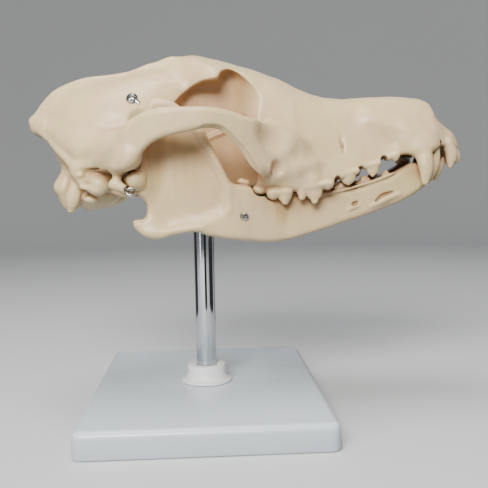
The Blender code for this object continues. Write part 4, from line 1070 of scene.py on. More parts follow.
# Each opening on the jaw's outer side and the lip below it, as (x, z, radius)
MENTAL_OPENINGS = (
    (((89.4, 109.9, 0.5), (92.8, 112.5, 0.95), (98.9, 114.4, 0.5)),
     ((86.6, 107.2, 0.8), (93.6, 110.1, 1.5), (102.4, 113.2, 0.8))),
    (((76.8, 108.3, 0.6), (78.2, 108.8, 0.9), (79.4, 109.4, 0.5)),
     ((74.2, 105.8, 0.8), (76.8, 106.8, 1.1), (79.6, 107.6, 0.7))),
)


def jaw_outer(x):
    return curve(x, *zip(*JAW_OUTER))


def on_jaw(stations, out, flat=(1.0, 1.0, 1.0)):
    """A strand along the jaw's outer side, a little outside or inside it."""
    points = [(x, jaw_outer(x) + out, z) for x, z, radius in stations]
    return strand(points, [radius for x, z, radius in stations], flat=flat)


def make_jaw(clay):
    """Half of the lower jaw: its body and ramus, its joint, its muscle hollow and its small openings."""
    middle = [(x, y - curve(x, *zip(*JAW_THICKNESS)) / 2) for x, y in JAW_OUTER]
    clay.add(plate(JAW_OUTLINE, middle, JAW_THICKNESS, edge=3.5))
    clay.add(limb([(117.0, 0.0, 121.0), (108.0, 0.0, 117.0), (96.0, 0.0, 112.0)], [4.2, 4.6, 3.6]), 4)
    clay.add(limb(CONDYLE, CONDYLE_RADII), 0)
    clay.add(limb([(-28.0, 39.0, 121.0), (-20.0, 38.4, 117.0)], [4.6, 2.6], flat=(1, 1, 1.5)), 5)
    clay.add(strand([(11.6, 36.6, 108.0), (9.6, 37.2, 120.0), (5.0, 38.2, 132.0), (-0.6, 38.8, 144.0)],
                    [0.8, 1.9, 2.0, 1.6]), 5)
    clay.add(strand([(-31.0, 39.4, 101.0), (-27.0, 40.0, 97.6), (-20.0, 40.4, 96.6),
                     (-10.0, 40.0, 98.6), (0.0, 39.4, 99.6)], [1.5, 1.6, 1.7, 1.5, 1.0]), 2.5)
    outer = [(x, jaw_outer(x) - depth) for x, depth in MASSETER_DEPTH]
    middle = [(x, y + MASSETER_CUTTER / 2) for x, y in outer]
    width = [(-40, MASSETER_CUTTER), (20, MASSETER_CUTTER)]
    clay.cut(plate(MASSETER_OUTLINE, middle, width, edge=6.5), 3.5)
    for opening, lip in MENTAL_OPENINGS:
        clay.add(on_jaw(lip, -0.1), 1.3)
        clay.cut(on_jaw(opening, 0.2, flat=(1.0, 1.7, 1.0)), 0.7)
    rim = [(x, jaw_outer(x) - 0.75, z) for x, z in SOCKET_RIM]
    clay.add(strand(rim, [0.3] + [0.85] * (len(rim) - 2) + [0.3], stations=30), 0.5)
    groove = [(x, jaw_outer(x) + 0.25, z - 1.7) for x, z in SOCKET_RIM]
    clay.cut(strand(groove, [0.1] + [0.75] * (len(rim) - 2) + [0.1], stations=30), 0.5)


# Fittings: where each is, and which way it points

Fitting = namedtuple("Fitting", "node kind outward facing")

FITTINGS = (
    Fitting("temple_screw", "screw", outward=(-0.03, 0.93, 0.36), facing=(0, 0, 1)),
    Fitting("jaw_screw", "screw", outward=(-0.02, 1.0, -0.05), facing=(0, 0, 1)),
    Fitting("joint_eyelet", "eyelet", outward=(0.92, 0.25, -0.33), facing=(0.4, 0.85, 0.35)),
)
SIDES = (("left", 1), ("right", -1))
SHANK_LENGTH = 0.004
SHANK_RADIUS = 0.0011
EYE_NECK = 0.0040
EYE_TURNS = 1.9
EYE_PITCH = 0.0012
BOSS_REACH = 2.6
BOSS_RADII = (2.6, 1.7)
# Room round a shank and past its end, room round a head and below it, and how far out the drills
# reach, in millimetres
SHANK_ROOM = 0.15
END_ROOM = 0.3
HEAD_ROOM = 0.2
SHANK_DRILL = 5.0
HEAD_DRILL = 3.0


def seat(fitting, word, side):
    """The matrix of a fitting's seat: its foot on the bone, z outwards and y towards its facing."""
    mirror = Vector((1, side, 1))
    z_axis = (Vector(fitting.outward) * mirror).normalized()
    x_axis = (Vector(fitting.facing) * mirror).cross(z_axis).normalized()
    y_axis = z_axis.cross(x_axis)
    turn = Matrix((x_axis, y_axis, z_axis)).transposed()
    node = frame["nodes"][fitting.node + "_" + word]
    points = np.array([v.co for v in node.data.vertices]) @ np.array(turn)
    middle = (points.min(0) + points.max(0)) / 2
    foot = Vector((middle[0], middle[1], points[:, 2].min() + SHANK_LENGTH))
    made = turn.to_4x4()
    made.translation = turn @ foot
    return made


def left_seat(fitting):
    """The foot of a fitting on the left half, in millimetres, and its direction outwards."""
    place = seat(fitting, "left", 1)
    return np.array(place.translation) / MM, np.array(place.col[2][:3])


def make_bosses(clay):
    """The bone that holds the screw eyes' shanks, on the left half."""
    for fitting in FITTINGS:
        if fitting.kind == "eyelet":
            foot, out = left_seat(fitting)
            clay.add(limb([foot - out * BOSS_REACH, foot + out * BOSS_REACH], BOSS_RADII), 2.5)


def drill_for_fittings(clay, names, head_radii):
    """Holes for the fittings of one bone, on the left half that the clay holds."""
    for fitting in FITTINGS:
        if fitting.node not in names:
            continue
        foot, out = left_seat(fitting)
        end = foot - out * (SHANK_LENGTH / MM + END_ROOM)
        clay.cut(bore(end, foot + out * SHANK_DRILL, SHANK_RADIUS / MM + SHANK_ROOM))
        if fitting.kind == "screw":
            radius = head_radii[fitting.node] + HEAD_ROOM
            clay.cut(bore(foot - out * HEAD_ROOM, foot + out * HEAD_DRILL, radius))


# Light that reaches into the hollows

SKY_DIRECTIONS = 60
SKY_CELLS = 4
SKY_MARGIN = 3
SKY_OFFSET = 1.4
GROOVE_REACH = 1.3


def even_directions(count):
    """Unit vectors spread evenly over a ball."""
    k = np.arange(count) + 0.5
    height = 1 - 2 * k / count
    turn = k * math.pi * (1 + math.sqrt(5))
    flat = np.sqrt(1 - height * height)
    return np.stack([flat * np.cos(turn), flat * np.sin(turn), height], axis=1)


def slid(plane, shift):
    """A plane moved by up to a cell along each of its axes; open air comes in at its edges."""
    padded = np.pad(plane, 1, constant_values=1.0)
    moved = np.zeros_like(plane)
    for step_a, share_a in ((0, 1 - abs(shift[0])), (int(np.sign(shift[0])), abs(shift[0]))):
        for step_b, share_b in ((0, 1 - abs(shift[1])), (int(np.sign(shift[1])), abs(shift[1]))):
            rows = slice(1 - step_a, padded.shape[0] - 1 - step_a)
            columns = slice(1 - step_b, padded.shape[1] - 1 - step_b)
            moved += share_a * share_b * padded[rows, columns]
    return moved


def openness(clear):
    """The share of directions in which each cell of a block sees out."""
    total = np.zeros(clear.shape, np.float32)
    for way in even_directions(SKY_DIRECTIONS):
        axis = int(np.argmax(np.abs(way)))
        planes = np.moveaxis(clear, axis, 0)
        lit = np.moveaxis(total, axis, 0)
        shift = np.delete(way, axis) / abs(way[axis])
        light = np.ones(planes.shape[1:], np.float32)
        order = range(len(planes)) if way[axis] > 0 else range(len(planes) - 1, -1, -1)
        for i in order:
            light = slid(light, shift) * planes[i]
            lit[i] += light
    return total / SKY_DIRECTIONS


def sky_block(clays):
    """Openness round the blocks of clay, on a coarse grid, with its first cell's place and its step."""
    step = clays[0].step * SKY_CELLS
    ends = [[axis[-1] for axis in clay.axes] for clay in clays]
    low = np.floor(np.min([clay.low for clay in clays], axis=0) / step).astype(int) - SKY_MARGIN
    high = np.ceil(np.max(ends, axis=0) / step).astype(int) + SKY_MARGIN
    low[1] = -high[1]
    places = [np.arange(a, b + 1) * step for a, b in zip(low, high)]
    points = np.stack(np.meshgrid(*places, indexing="ij"), axis=-1).reshape(-1, 3)
    nearest = np.full(len(points), FAR)
    folded = np.abs(points * (0, 1, 0)) + points * (1, 0, 1)
    for clay, last in zip(clays, ends):
        held = np.all((folded >= clay.low) & (folded <= np.array(last)), axis=1)
        nearest[held] = np.minimum(nearest[held], clay.read(points[held]))
    clear = np.clip(0.5 + nearest / step, 0.0, 1.0).astype(np.float32)
    return openness(clear.reshape([len(p) for p in places])), low * step, step


def points_and_normals(mesh):
    read = []
    for name in ("co", "normal"):
        values = np.zeros(len(mesh.vertices) * 3)
        mesh.vertices.foreach_get(name, values)
        read.append(values.reshape(-1, 3))
    return read


def mark_hollows(mesh, clay, sky):
    """Stores on each point how open it lies and how deep in a narrow groove."""
    block, low, step = sky
    points, normals = points_and_normals(mesh)
    points = points / MM
    seen = read_block(block, (points + normals * SKY_OFFSET - low) / step)
    room = clay.read(points + normals * GROOVE_REACH) / GROOVE_REACH
    for name, values in (("openness", seen), ("groove", np.clip(1 - room, 0.0, 1.0))):
        stored = mesh.attributes.new(name, "FLOAT", "POINT")
        stored.data.foreach_set("value", values.astype(np.float32))


# Making objects

def keep_largest(mesh):
    """Deletes every loose scrap, so that one closed surface is left."""
    count = len(mesh.vertices)
    ends = np.zeros(len(mesh.edges) * 2, np.int32)
    mesh.edges.foreach_get("vertices", ends)
    ends = ends.reshape(-1, 2)
    label = np.arange(count)
    while True:
        least = np.minimum(label[ends[:, 0]], label[ends[:, 1]])
        before = label.copy()
        np.minimum.at(label, ends[:, 0], least)
        np.minimum.at(label, ends[:, 1], least)
        label = label[label]
        if np.array_equal(before, label):
            break
    scraps = np.flatnonzero(label != np.bincount(label).argmax())
    if len(scraps):
        bm = bmesh.new()
        bm.from_mesh(mesh)
        bm.verts.ensure_lookup_table()
        bmesh.ops.delete(bm, geom=[bm.verts[i] for i in scraps], context="VERTS")
        bm.to_mesh(mesh)
        bm.free()


def put(name, mesh, finish):
    mesh.materials.clear()
    mesh.materials.append(finish)
    made = bpy.data.objects.new(name, mesh)
    bpy.context.scene.collection.objects.link(made)
    return made


def settle(piece):
    """Turns an object with modifiers into a plain mesh."""
    view = bpy.context.evaluated_depsgraph_get()
    mesh = bpy.data.meshes.new_from_object(piece.evaluated_get(view))
    piece.modifiers.clear()
    piece.data = mesh
    return mesh


def hand_over(piece, slot, *nodes):
    """Puts a finished piece in the place of the nodes that it stands for."""
    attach(piece, BODY)
    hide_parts(*nodes)


SWELL_SEED = 11
# The length and the height of each wave of the swell, in millimetres
SWELLS = (
    (31.0, 0.11), (26.0, 0.11), (22.0, 0.09), (17.0, 0.07), (14.0, 0.06), (12.0, 0.05), (9.5, 0.035),
    (8.0, 0.035), (6.5, 0.03), (5.2, 0.02), (4.4, 0.02), (3.6, 0.015),
)


def unevenness(points):
    """A gentle swell over the surface, as a sum of waves in all directions, in millimetres."""
    draw = np.random.default_rng(SWELL_SEED)
    total = np.zeros(len(points))
    for length, height in SWELLS:
        way = draw.normal(size=3)
        way *= 2 * math.pi / (length * np.linalg.norm(way))
        total += height * np.sin(points @ way + draw.uniform(0, 2 * math.pi))
    return total


def make_uneven(mesh):
    """Moves each point a little along its normal, so that the two sides of a bone aren't twins."""
    points, normals = points_and_normals(mesh)
    points += normals * unevenness(points / MM)[:, None] * MM
    mesh.vertices.foreach_set("co", points.ravel())
    mesh.update()


def bone(name, clay, finish, faces, sky):
    """A bone's object from its clay, with fewer faces, uneven, and with its hollows marked."""
    mesh = clay.mesh(name)
    made = put(name, mesh, finish)
    thin = made.modifiers.new("fewer_faces", "DECIMATE")
    thin.ratio = min(1.0, faces / (2 * len(mesh.polygons)))
    mesh = settle(made)
    keep_largest(mesh)
    mesh.shade_smooth()
    mark_hollows(mesh, clay, sky)
    make_uneven(mesh)
    return made


ROD_ROOM = 0.3
ROD_HOLE_FOOT = 60


def rod_radius():
    low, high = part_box("stand_rod")
    return (high.x - low.x) / 2


def build_clays(cast, fittings):
    """Both bones as clay: each form in its turn, then the mandible cut clear of the cranium."""
    step = cast.grid / MM
    heads = {"temple_screw": fittings.temple_head / MM, "jaw_screw": fittings.jaw_head / MM}
    cranium = Clay(CRANIUM_LOW, CRANIUM_HIGH, step)
    make_braincase(cranium)
    make_face(cranium)
    cut_orbit(cranium)
    make_arch(cranium)
    make_occiput(cranium)
    make_crests(cranium)
    make_ear_region(cranium)
    cut_openings(cranium)
    make_nasal_scrolls(cranium)
    mark_palate(cranium)
    make_bosses(cranium)
    cranium.cut(limb(CONDYLE, [r + JOINT_SPACE for r in CONDYLE_RADII]), 1.0)
    points, radii = LOWER_CANINE
    cranium.cut(limb(points, [r + CANINE_SPACE for r in radii], flat=CANINE_FLAT), 1.0)
    make_cheek_teeth(cranium, UPPER_TEETH, -1)
    make_front_teeth(cranium, UPPER_CANINE, UPPER_INCISORS)
    rod_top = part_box("stand_rod")[1].z / MM
    cranium.cut(bore((0, 0, ROD_HOLE_FOOT), (0, 0, rod_top + ROD_ROOM), rod_radius() / MM + ROD_ROOM))
    drill_for_fittings(cranium, ("temple_screw", "joint_eyelet"), heads)

    mandible = Clay(MANDIBLE_LOW, MANDIBLE_HIGH, step)
    make_jaw(mandible)
    make_cheek_teeth(mandible, LOWER_TEETH, 1)
    make_front_teeth(mandible, LOWER_CANINE, LOWER_INCISORS)
    mandible.stand_clear_of(cranium, BITE_SPACE)
    drill_for_fittings(mandible, ("jaw_screw",), heads)
    return cranium, mandible


# Stand

def rounded_box(low, high, corner, rim, foot):
    """A block with rounded upright corners, a rounded rim and a slightly rounded foot."""
    bm = bmesh.new()
    bmesh.ops.create_cube(bm, size=1)
    bmesh.ops.scale(bm, verts=bm.verts, vec=high - low)
    bmesh.ops.translate(bm, verts=bm.verts, vec=(low + high) / 2)
    upright = [e for e in bm.edges if abs(e.verts[0].co.z - e.verts[1].co.z) > MM]
    bmesh.ops.bevel(bm, geom=upright, offset=corner, segments=12, profile=0.5, affect="EDGES")
    for height, radius, segments in ((high.z, rim, 10), (low.z, foot, 4)):
        edges = [e for e in bm.edges if all(abs(v.co.z - height) < 0.1 * MM for v in e.verts)]
        bmesh.ops.bevel(bm, geom=edges, offset=radius, segments=segments, profile=0.5, affect="EDGES")
    return bm


def spun(profile, segments):
    """A surface turned about z from (radius, z) points; one that doesn't start on the axis is a ring."""
    bm = bmesh.new()
    turns = [2 * math.pi * k / segments for k in range(segments)]
    rings = [
        [bm.verts.new((0, 0, z))] if radius == 0 else
        [bm.verts.new((radius * math.cos(t), radius * math.sin(t), z)) for t in turns]
        for radius, z in profile
    ]
    pairs = list(zip(rings[:-1], rings[1:]))
    if profile[0][0] > 0:
        pairs.append((rings[-1], rings[0]))
    for lower, upper in pairs:
        for k in range(segments):
            corners = [lower[k % len(lower)], upper[k % len(upper)],
                       upper[(k + 1) % len(upper)], lower[(k + 1) % len(lower)]]
            bm.faces.new(dict.fromkeys(corners))
    return bm


def turned(profile, segments):
    """A closed body turned about z, its faces pointing out."""
    bm = spun(profile, segments)
    bmesh.ops.recalc_face_normals(bm, faces=bm.faces)
    return bm


def finished_mesh(bm, name, angle=30):
    mesh = bpy.data.meshes.new(name)
    bm.to_mesh(mesh)
    bm.free()
    mesh.shade_smooth()
    mesh.set_sharp_from_angle(angle=math.radians(angle))
    return mesh


def fillet(start, corner, end, steps=6):
    """Points of a quarter bend from start to end round a corner, in (radius, z)."""
    points = []
    for k in range(steps + 1):
        t = k / steps
        points.append(tuple(
            a * (1 - t) ** 2 + 2 * c * t * (1 - t) + b * t * t
            for a, c, b in zip(start, corner, end)))
    return points


COLLAR_SHARE = 0.76
FLANGE_EDGE = 0.0011
FLARE_HEIGHT = 0.0048
COLLAR_EDGE = 0.0008
BORE_EDGE = 0.0009
BORE_ROOM = 0.00012


def collar_profile():
    """A short sleeve that flares out into a thin-edged foot, with a bore for the rod."""
    low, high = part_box("stand_collar")
    hole = rod_radius() + BORE_ROOM
    flange, sleeve = high.x, high.x * COLLAR_SHARE
    foot, top = low.z, high.z
    rim = foot + FLANGE_EDGE
    shoulder = foot + FLARE_HEIGHT
    profile = [(hole, foot), (flange - 0.3 * MM, foot)]
    profile += fillet((flange, foot + 0.3 * MM), (flange, rim), (flange - 0.7 * MM, rim + 0.2 * MM))
    profile += fillet((flange - 1.2 * MM, rim + 0.4 * MM), (sleeve + 0.5 * MM, rim + 1.1 * MM),
                      (sleeve, shoulder), 10)
    profile += fillet((sleeve, top - COLLAR_EDGE), (sleeve, top), (sleeve - COLLAR_EDGE, top))
    profile += fillet((hole + BORE_EDGE, top), (hole, top), (hole, top - BORE_EDGE))
    return profile


ROD_FOOT_EDGE = 0.0004
ROD_TOP_EDGE = 0.0006


def rod_profile():
    """A round bar with slightly rounded ends."""
    low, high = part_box("stand_rod")
    radius = rod_radius()
    profile = [(0, low.z)]
    profile += fillet((radius - ROD_FOOT_EDGE, low.z), (radius, low.z), (radius, low.z + ROD_FOOT_EDGE), 3)
    profile += fillet((radius, high.z - ROD_TOP_EDGE), (radius, high.z), (radius - ROD_TOP_EDGE, high.z), 3)
    profile.append((0, high.z))
    return profile


# Fittings, built by Geometry Nodes

class Tree:
    """A Geometry Nodes tree with named inputs for its sizes."""

    def __init__(self, name, sizes):
        self.tree = bpy.data.node_groups.new(name, "GeometryNodeTree")
        self.ids = {}
        self.open("Geometry", "Geometry")
        for size, default in sizes.items():
            self.open(size, "Float").default_value = default
        self.open("Finish", "Material")
        self.tree.interface.new_socket("Geometry", in_out="OUTPUT", socket_type="NodeSocketGeometry")
        self.inlet = self.tree.nodes.new("NodeGroupInput")
        self.outlet = self.tree.nodes.new("NodeGroupOutput")

    def open(self, name, kind):
        """Adds an input and keeps its identifier."""
        socket = self.tree.interface.new_socket(name, in_out="INPUT", socket_type="NodeSocket" + kind)
        self.ids[name] = socket.identifier
        return socket

    def size(self, name):
        return self.inlet.outputs[name]

    def add(self, kind, settings=None, values=None, output=0):
        made = self.tree.nodes.new(kind)
        for name, value in (settings or {}).items():
            setattr(made, name, value)
        for name, value in (values or {}).items():
            socket = made.inputs[name]
            many = value if isinstance(value, list) else [value]
            for one in many:
                if isinstance(one, bpy.types.NodeSocket):
                    self.tree.links.new(one, socket)
                else:
                    socket.default_value = one
        return made.outputs[output]

    def maths(self, operation, first, second=0.0):
        return self.add("ShaderNodeMath", {"operation": operation}, {0: first, 1: second})

    def times(self, first, second):
        return self.maths("MULTIPLY", first, second)

    def cylinder(self, sides, radius, depth):
        return self.add("GeometryNodeMeshCylinder", {"fill_type": "NGON"}, {
            "Vertices": sides, "Radius": radius, "Depth": depth}, output="Mesh")

    def vector(self, x=0.0, y=0.0, z=0.0):
        return self.add("ShaderNodeCombineXYZ", None, {0: x, 1: y, 2: z})

    def moved(self, geometry, offset=None, turn=None, scale=None):
        values = {"Geometry": geometry}
        for name, value in (("Translation", offset), ("Rotation", turn), ("Scale", scale)):
            if value is not None:
                values[name] = value
        return self.add("GeometryNodeTransform", None, values)

    def end(self, geometry):
        """Puts the shape on every point, turned as the point says, and makes it real."""
        turn = self.add("GeometryNodeInputNamedAttribute", {"data_type": "QUATERNION"}, {"Name": "turn"})
        placed = self.add("GeometryNodeInstanceOnPoints", None, {
            "Points": self.inlet.outputs["Geometry"], "Instance": geometry, "Rotation": turn})
        real = self.add("GeometryNodeRealizeInstances", None, {"Geometry": placed})
        smooth = self.add("GeometryNodeSetShadeSmooth", None, {"Geometry": real})
        done = self.add("GeometryNodeSetMaterial", None, {
            "Geometry": smooth, "Material": self.inlet.outputs["Finish"]})
        self.tree.links.new(done, self.outlet.inputs["Geometry"])
        return self.tree


def thread(tree, radius, pitch, bottom, turns, depth):
    """A ridge that winds up a shank."""
    spiral = tree.add("GeometryNodeCurveSpiral", None, {
        "Resolution": 20, "Rotations": turns, "Start Radius": radius, "End Radius": radius,
        "Height": tree.times(pitch, turns), "Reverse": False})
    ridge = tree.add("GeometryNodeCurvePrimitiveCircle", {"mode": "RADIUS"}, {
        "Resolution": 6, "Radius": depth}, output="Curve")
    wound = tree.add("GeometryNodeCurveToMesh", None, {
        "Curve": spiral, "Profile Curve": ridge, "Fill Caps": True})
    return tree.moved(wound, offset=tree.vector(z=bottom))


# A screw's head is a flattened ball trimmed by a block: shares of the head's radius or height
DOME_RADIUS = 1.03
DOME_HEIGHT = 1.35
DOME_SINK = -0.35
BLOCK_HEIGHT = 1.16
BLOCK_RISE = 0.32
# The cross recess: its turn, its blades' length as a share of the head's radius, and the pit in its
# middle as shares of the recess's width and depth
RECESS_TURN = 0.35
BLADE_LENGTH = 1.16
PIT_RADIUS = 1.25
PIT_DEPTH = 1.3
PIT_SINK = 1.15
# The thread: the shank's core as a share of its radius, where it starts along the shank, its turns
# and the height of its ridge
CORE_SHARE = 0.8
THREAD_START = -0.97
THREAD_TURNS = 3.6
THREAD_HEIGHT = 0.00022
# The wire end that lies beside each upper screw, from the middle of the head
STUB_WAY = Vector((0.78, -0.60, -0.16)).normalized()
STUB_RADIUS = 0.00125
STUB_RISE = -0.0001
HIDDEN_STUB = 0.0006


def screw_head(tree):
    """A low dome with a cross recess."""
    radius, height = tree.size("Head Radius"), tree.size("Head Height")
    width, depth = tree.size("Recess Width"), tree.size("Recess Depth")
    ball = tree.add("GeometryNodeMeshUVSphere", None, {
        "Segments": 40, "Rings": 24, "Radius": 1.0}, output="Mesh")
    reach = tree.times(radius, DOME_RADIUS)
    dome = tree.moved(ball, offset=tree.vector(z=tree.times(height, DOME_SINK)),
                      scale=tree.vector(reach, reach, tree.times(height, DOME_HEIGHT)))
    block = tree.moved(tree.cylinder(40, radius, tree.times(height, BLOCK_HEIGHT)),
                       offset=tree.vector(z=tree.times(height, BLOCK_RISE)))
    head = tree.add("GeometryNodeMeshBoolean", {"operation": "INTERSECT", "solver": "EXACT"}, {
        "Mesh": [dome, block]}, output="Mesh")
    cutters = []
    for turn in (RECESS_TURN, RECESS_TURN + math.pi / 2):
        blade = tree.add("GeometryNodeMeshCube", None, {"Size": tree.vector(
            tree.times(radius, BLADE_LENGTH), width, tree.times(depth, 2.0))}, output="Mesh")
        cutters.append(tree.moved(blade, offset=tree.vector(z=height), turn=(0.0, 0.0, turn)))
    pit = tree.add("GeometryNodeMeshCone", {"fill_type": "NGON"}, {
        "Vertices": 16, "Radius Top": tree.times(width, PIT_RADIUS), "Radius Bottom": 0.0,
        "Depth": tree.times(depth, PIT_DEPTH)}, output="Mesh")
    foot = tree.maths("SUBTRACT", height, tree.times(depth, PIT_SINK))
    cutters.append(tree.moved(pit, offset=tree.vector(z=foot)))
    return tree.add("GeometryNodeMeshBoolean", {"operation": "DIFFERENCE", "solver": "EXACT"}, {
        "Mesh 1": head, "Mesh 2": cutters}, output="Mesh")


def screw_tree():
    """A pan head screw with a cross recess, a threaded shank and a wire end beside its head."""
    tree = Tree("pan_head_screw", {
        "Head Radius": 0.0025, "Head Height": 0.0015, "Shank Radius": SHANK_RADIUS,
        "Shank Length": SHANK_LENGTH, "Recess Width": 0.0011, "Recess Depth": 0.0012,
        "Thread Pitch": 0.0009, "Stub Length": 0.0})
    head = screw_head(tree)
    depth = tree.size("Shank Length")
    core = tree.times(tree.size("Shank Radius"), CORE_SHARE)
    shank = tree.moved(tree.cylinder(24, core, depth), offset=tree.vector(z=tree.times(depth, -0.5)))
    wound = thread(tree, core, tree.size("Thread Pitch"), tree.times(depth, THREAD_START),
                   THREAD_TURNS, THREAD_HEIGHT)
    reach = tree.size("Stub Length")
    turn = (0.0, math.acos(STUB_WAY.z), math.atan2(STUB_WAY.y, STUB_WAY.x))
    middle = [tree.times(reach, 0.5 * part) for part in STUB_WAY]
    middle[2] = tree.maths("ADD", middle[2], STUB_RISE)
    stub = tree.moved(tree.cylinder(20, STUB_RADIUS, reach), offset=tree.vector(*middle), turn=turn)
    whole = tree.add("GeometryNodeJoinGeometry", None, {"Geometry": [head, shank, wound, stub]})
    return tree, whole


EYE_THREAD_START = -0.95
EYE_THREAD_TURNS = 5.4
EYE_THREAD_HEIGHT = 0.00020


def eyelet_tree():
    """A screw eye: a ring of wire wound almost twice, on a threaded shank."""
    tree = Tree("screw_eye", {
        "Ring Radius": 0.0019, "Wire Radius": 0.00065, "Neck": EYE_NECK,
        "Shank Length": SHANK_LENGTH, "Thread Pitch": 0.0009})
    ring, wire, neck = tree.size("Ring Radius"), tree.size("Wire Radius"), tree.size("Neck")
    bend = tree.add("GeometryNodeCurveSpiral", None, {
        "Resolution": 44, "Rotations": EYE_TURNS, "Start Radius": ring, "End Radius": ring,
        "Height": EYE_PITCH * EYE_TURNS, "Reverse": False})
    bend = tree.moved(bend, turn=(0.0, 0.0, -math.pi / 2))
    bend = tree.moved(bend, turn=(math.pi / 2, 0.0, 0.0))
    bend = tree.moved(bend, offset=tree.vector(z=tree.maths("ADD", neck, ring)))
    section = tree.add("GeometryNodeCurvePrimitiveCircle", {"mode": "RADIUS"}, {
        "Resolution": 18, "Radius": wire}, output="Curve")
    loop = tree.add("GeometryNodeCurveToMesh", None, {
        "Curve": bend, "Profile Curve": section, "Fill Caps": True})
    depth = tree.size("Shank Length")
    shank = tree.moved(tree.cylinder(18, wire, tree.maths("ADD", depth, neck)), offset=tree.vector(
        z=tree.times(tree.maths("SUBTRACT", neck, depth), 0.5)))
    wound = thread(tree, wire, tree.size("Thread Pitch"), tree.times(depth, EYE_THREAD_START),
                   EYE_THREAD_TURNS, EYE_THREAD_HEIGHT)
    whole = tree.add("GeometryNodeJoinGeometry", None, {"Geometry": [loop, shank, wound]})
    return tree, whole


def points_for(fittings, name):
    """A mesh of points at the fittings' seats, each with its turn."""
    seats = [seat(f, word, side) for f in fittings for word, side in SIDES]
    mesh = bpy.data.meshes.new(name)
    mesh.from_pydata([m.translation for m in seats], [], [])
    turns = mesh.attributes.new("turn", "QUATERNION", "POINT")
    for stored, place in zip(turns.data, seats):
        stored.value = place.to_quaternion()
    return mesh


# The angle from which an edge of a fitting is sharp, in degrees
FITTING_EDGE = 32


def grow(name, fittings, tree_and_shape, values, finish):
    """Runs a tree on the fittings' seats and leaves a plain mesh."""
    tree, shape = tree_and_shape
    group = tree.end(shape)
    made = bpy.data.objects.new(name, points_for(fittings, name))
    bpy.context.scene.collection.objects.link(made)
    grown = made.modifiers.new("grow", "NODES")
    grown.node_group = group
    for size, value in values.items():
        grown[tree.ids[size]] = value
    grown[tree.ids["Finish"]] = finish
    mesh = settle(made)
    mesh.set_sharp_from_angle(angle=math.radians(FITTING_EDGE))
    return made


# Studio

CAMERA_PLACE = (0.0021, -0.3779, 0.1167)
CAMERA_YAW = math.radians(2.98)
CAMERA_PITCH = math.radians(4.41)
CAMERA_ROLL = math.radians(1.1)
SENSOR = 36.0
CLIP_START = 0.01
FLOOR_RADIUS = 1.8
SWEEP_RADIUS = 0.7
SWEEP_STEPS = 12
WALL_HEIGHT = 1.1
FLOOR_SIDES = 96
# The sky's colour from straight below, at 0, to straight above, at 1
SKY_STOPS = (
    (0.0, (0.80, 0.83, 0.84, 1.0)),
    (0.5, (0.52, 0.53, 0.54, 1.0)),
    (0.62, (0.44, 0.45, 0.46, 1.0)),
    (0.95, (0.55, 0.56, 0.58, 1.0)),
)
# The point that every light looks at, then each light's name, place, size, power setting and tint
LIT_POINT = (0.02, 0.0, 0.12)
LIGHTS = (
    ("key", (-0.22, -0.82, 0.61), (0.50, 0.34), "key_power", (1.0, 0.98, 0.95)),
    ("top", (-0.12, -0.10, 1.05), (0.50, 0.40), "top_power", (1.0, 1.0, 1.0)),
    ("fill", (0.75, -0.45, 0.35), (0.4, 0.6), "fill_power", (0.95, 0.97, 1.0)),
    ("back", (0.35, 0.7, 0.6), (0.6, 0.3), "fill_power", (1.0, 1.0, 1.0)),
    ("strip", (-0.42, -0.46, 0.20), (0.03, 0.36), "strip_power", (1.0, 1.0, 1.0)),
)
# Each flag's name, azimuth from the photo's side, distance, width, and the heights of its edges
FLAGS = (
    ("flag_front", 12.0, 0.21, 0.090, 0.001, 0.10),
    ("flag_left", -112.0, 0.21, 0.180, 0.001, 0.10),
    ("flag_right", 80.0, 0.21, 0.220, 0.001, 0.10),
    ("flag_back_left", -152.0, 0.21, 0.060, 0.001, 0.10),
    ("flag_back_right", 152.0, 0.21, 0.110, 0.001, 0.10),
    ("flag_high_right", 24.0, 0.55, 0.200, 0.14, 0.60),
    ("flag_high_left", -60.0, 0.55, 0.100, 0.14, 0.50),
)


def camera_matrix():
    """The camera's place and turn, from its yaw, its pitch and its roll."""
    ahead = Vector((math.sin(CAMERA_YAW) * math.cos(CAMERA_PITCH),
                    math.cos(CAMERA_YAW) * math.cos(CAMERA_PITCH), -math.sin(CAMERA_PITCH)))
    level = Vector((math.cos(CAMERA_YAW), -math.sin(CAMERA_YAW), 0))
    upright = level.cross(ahead)
    right = math.cos(CAMERA_ROLL) * level - math.sin(CAMERA_ROLL) * upright
    up = math.sin(CAMERA_ROLL) * level + math.cos(CAMERA_ROLL) * upright
    made = Matrix((right, up, -ahead)).transposed().to_4x4()
    made.translation = CAMERA_PLACE
    return made


def add_light(name, place, size, power, tint):
    light = bpy.data.lights.new(name, "AREA")
    light.shape = "RECTANGLE"
    light.size, light.size_y = size
    light.energy = power
    light.color = tint
    made = bpy.data.objects.new(name, light)
    bpy.context.scene.collection.objects.link(made)
    made.location = place
    made.rotation_euler = (Vector(LIT_POINT) - Vector(place)).to_track_quat("-Z", "Y").to_euler()
    made.visible_camera = False


def make_world(studio):
    world = bpy.data.worlds.new("studio")
    bpy.context.scene.world = world
    nodes = Nodes(world)
    height = nodes.add("SeparateXYZ", None, {0: nodes.add("TexCoord", output="Generated")}, output="Z")
    sky = nodes.add("ValToRGB", {"stops": SKY_STOPS}, {0: height * 0.5 + 0.5})
    lit = nodes.add("Background", None, {"Color": sky, "Strength": studio.sky_strength})
    nodes.add("OutputWorld", None, {"Surface": lit})


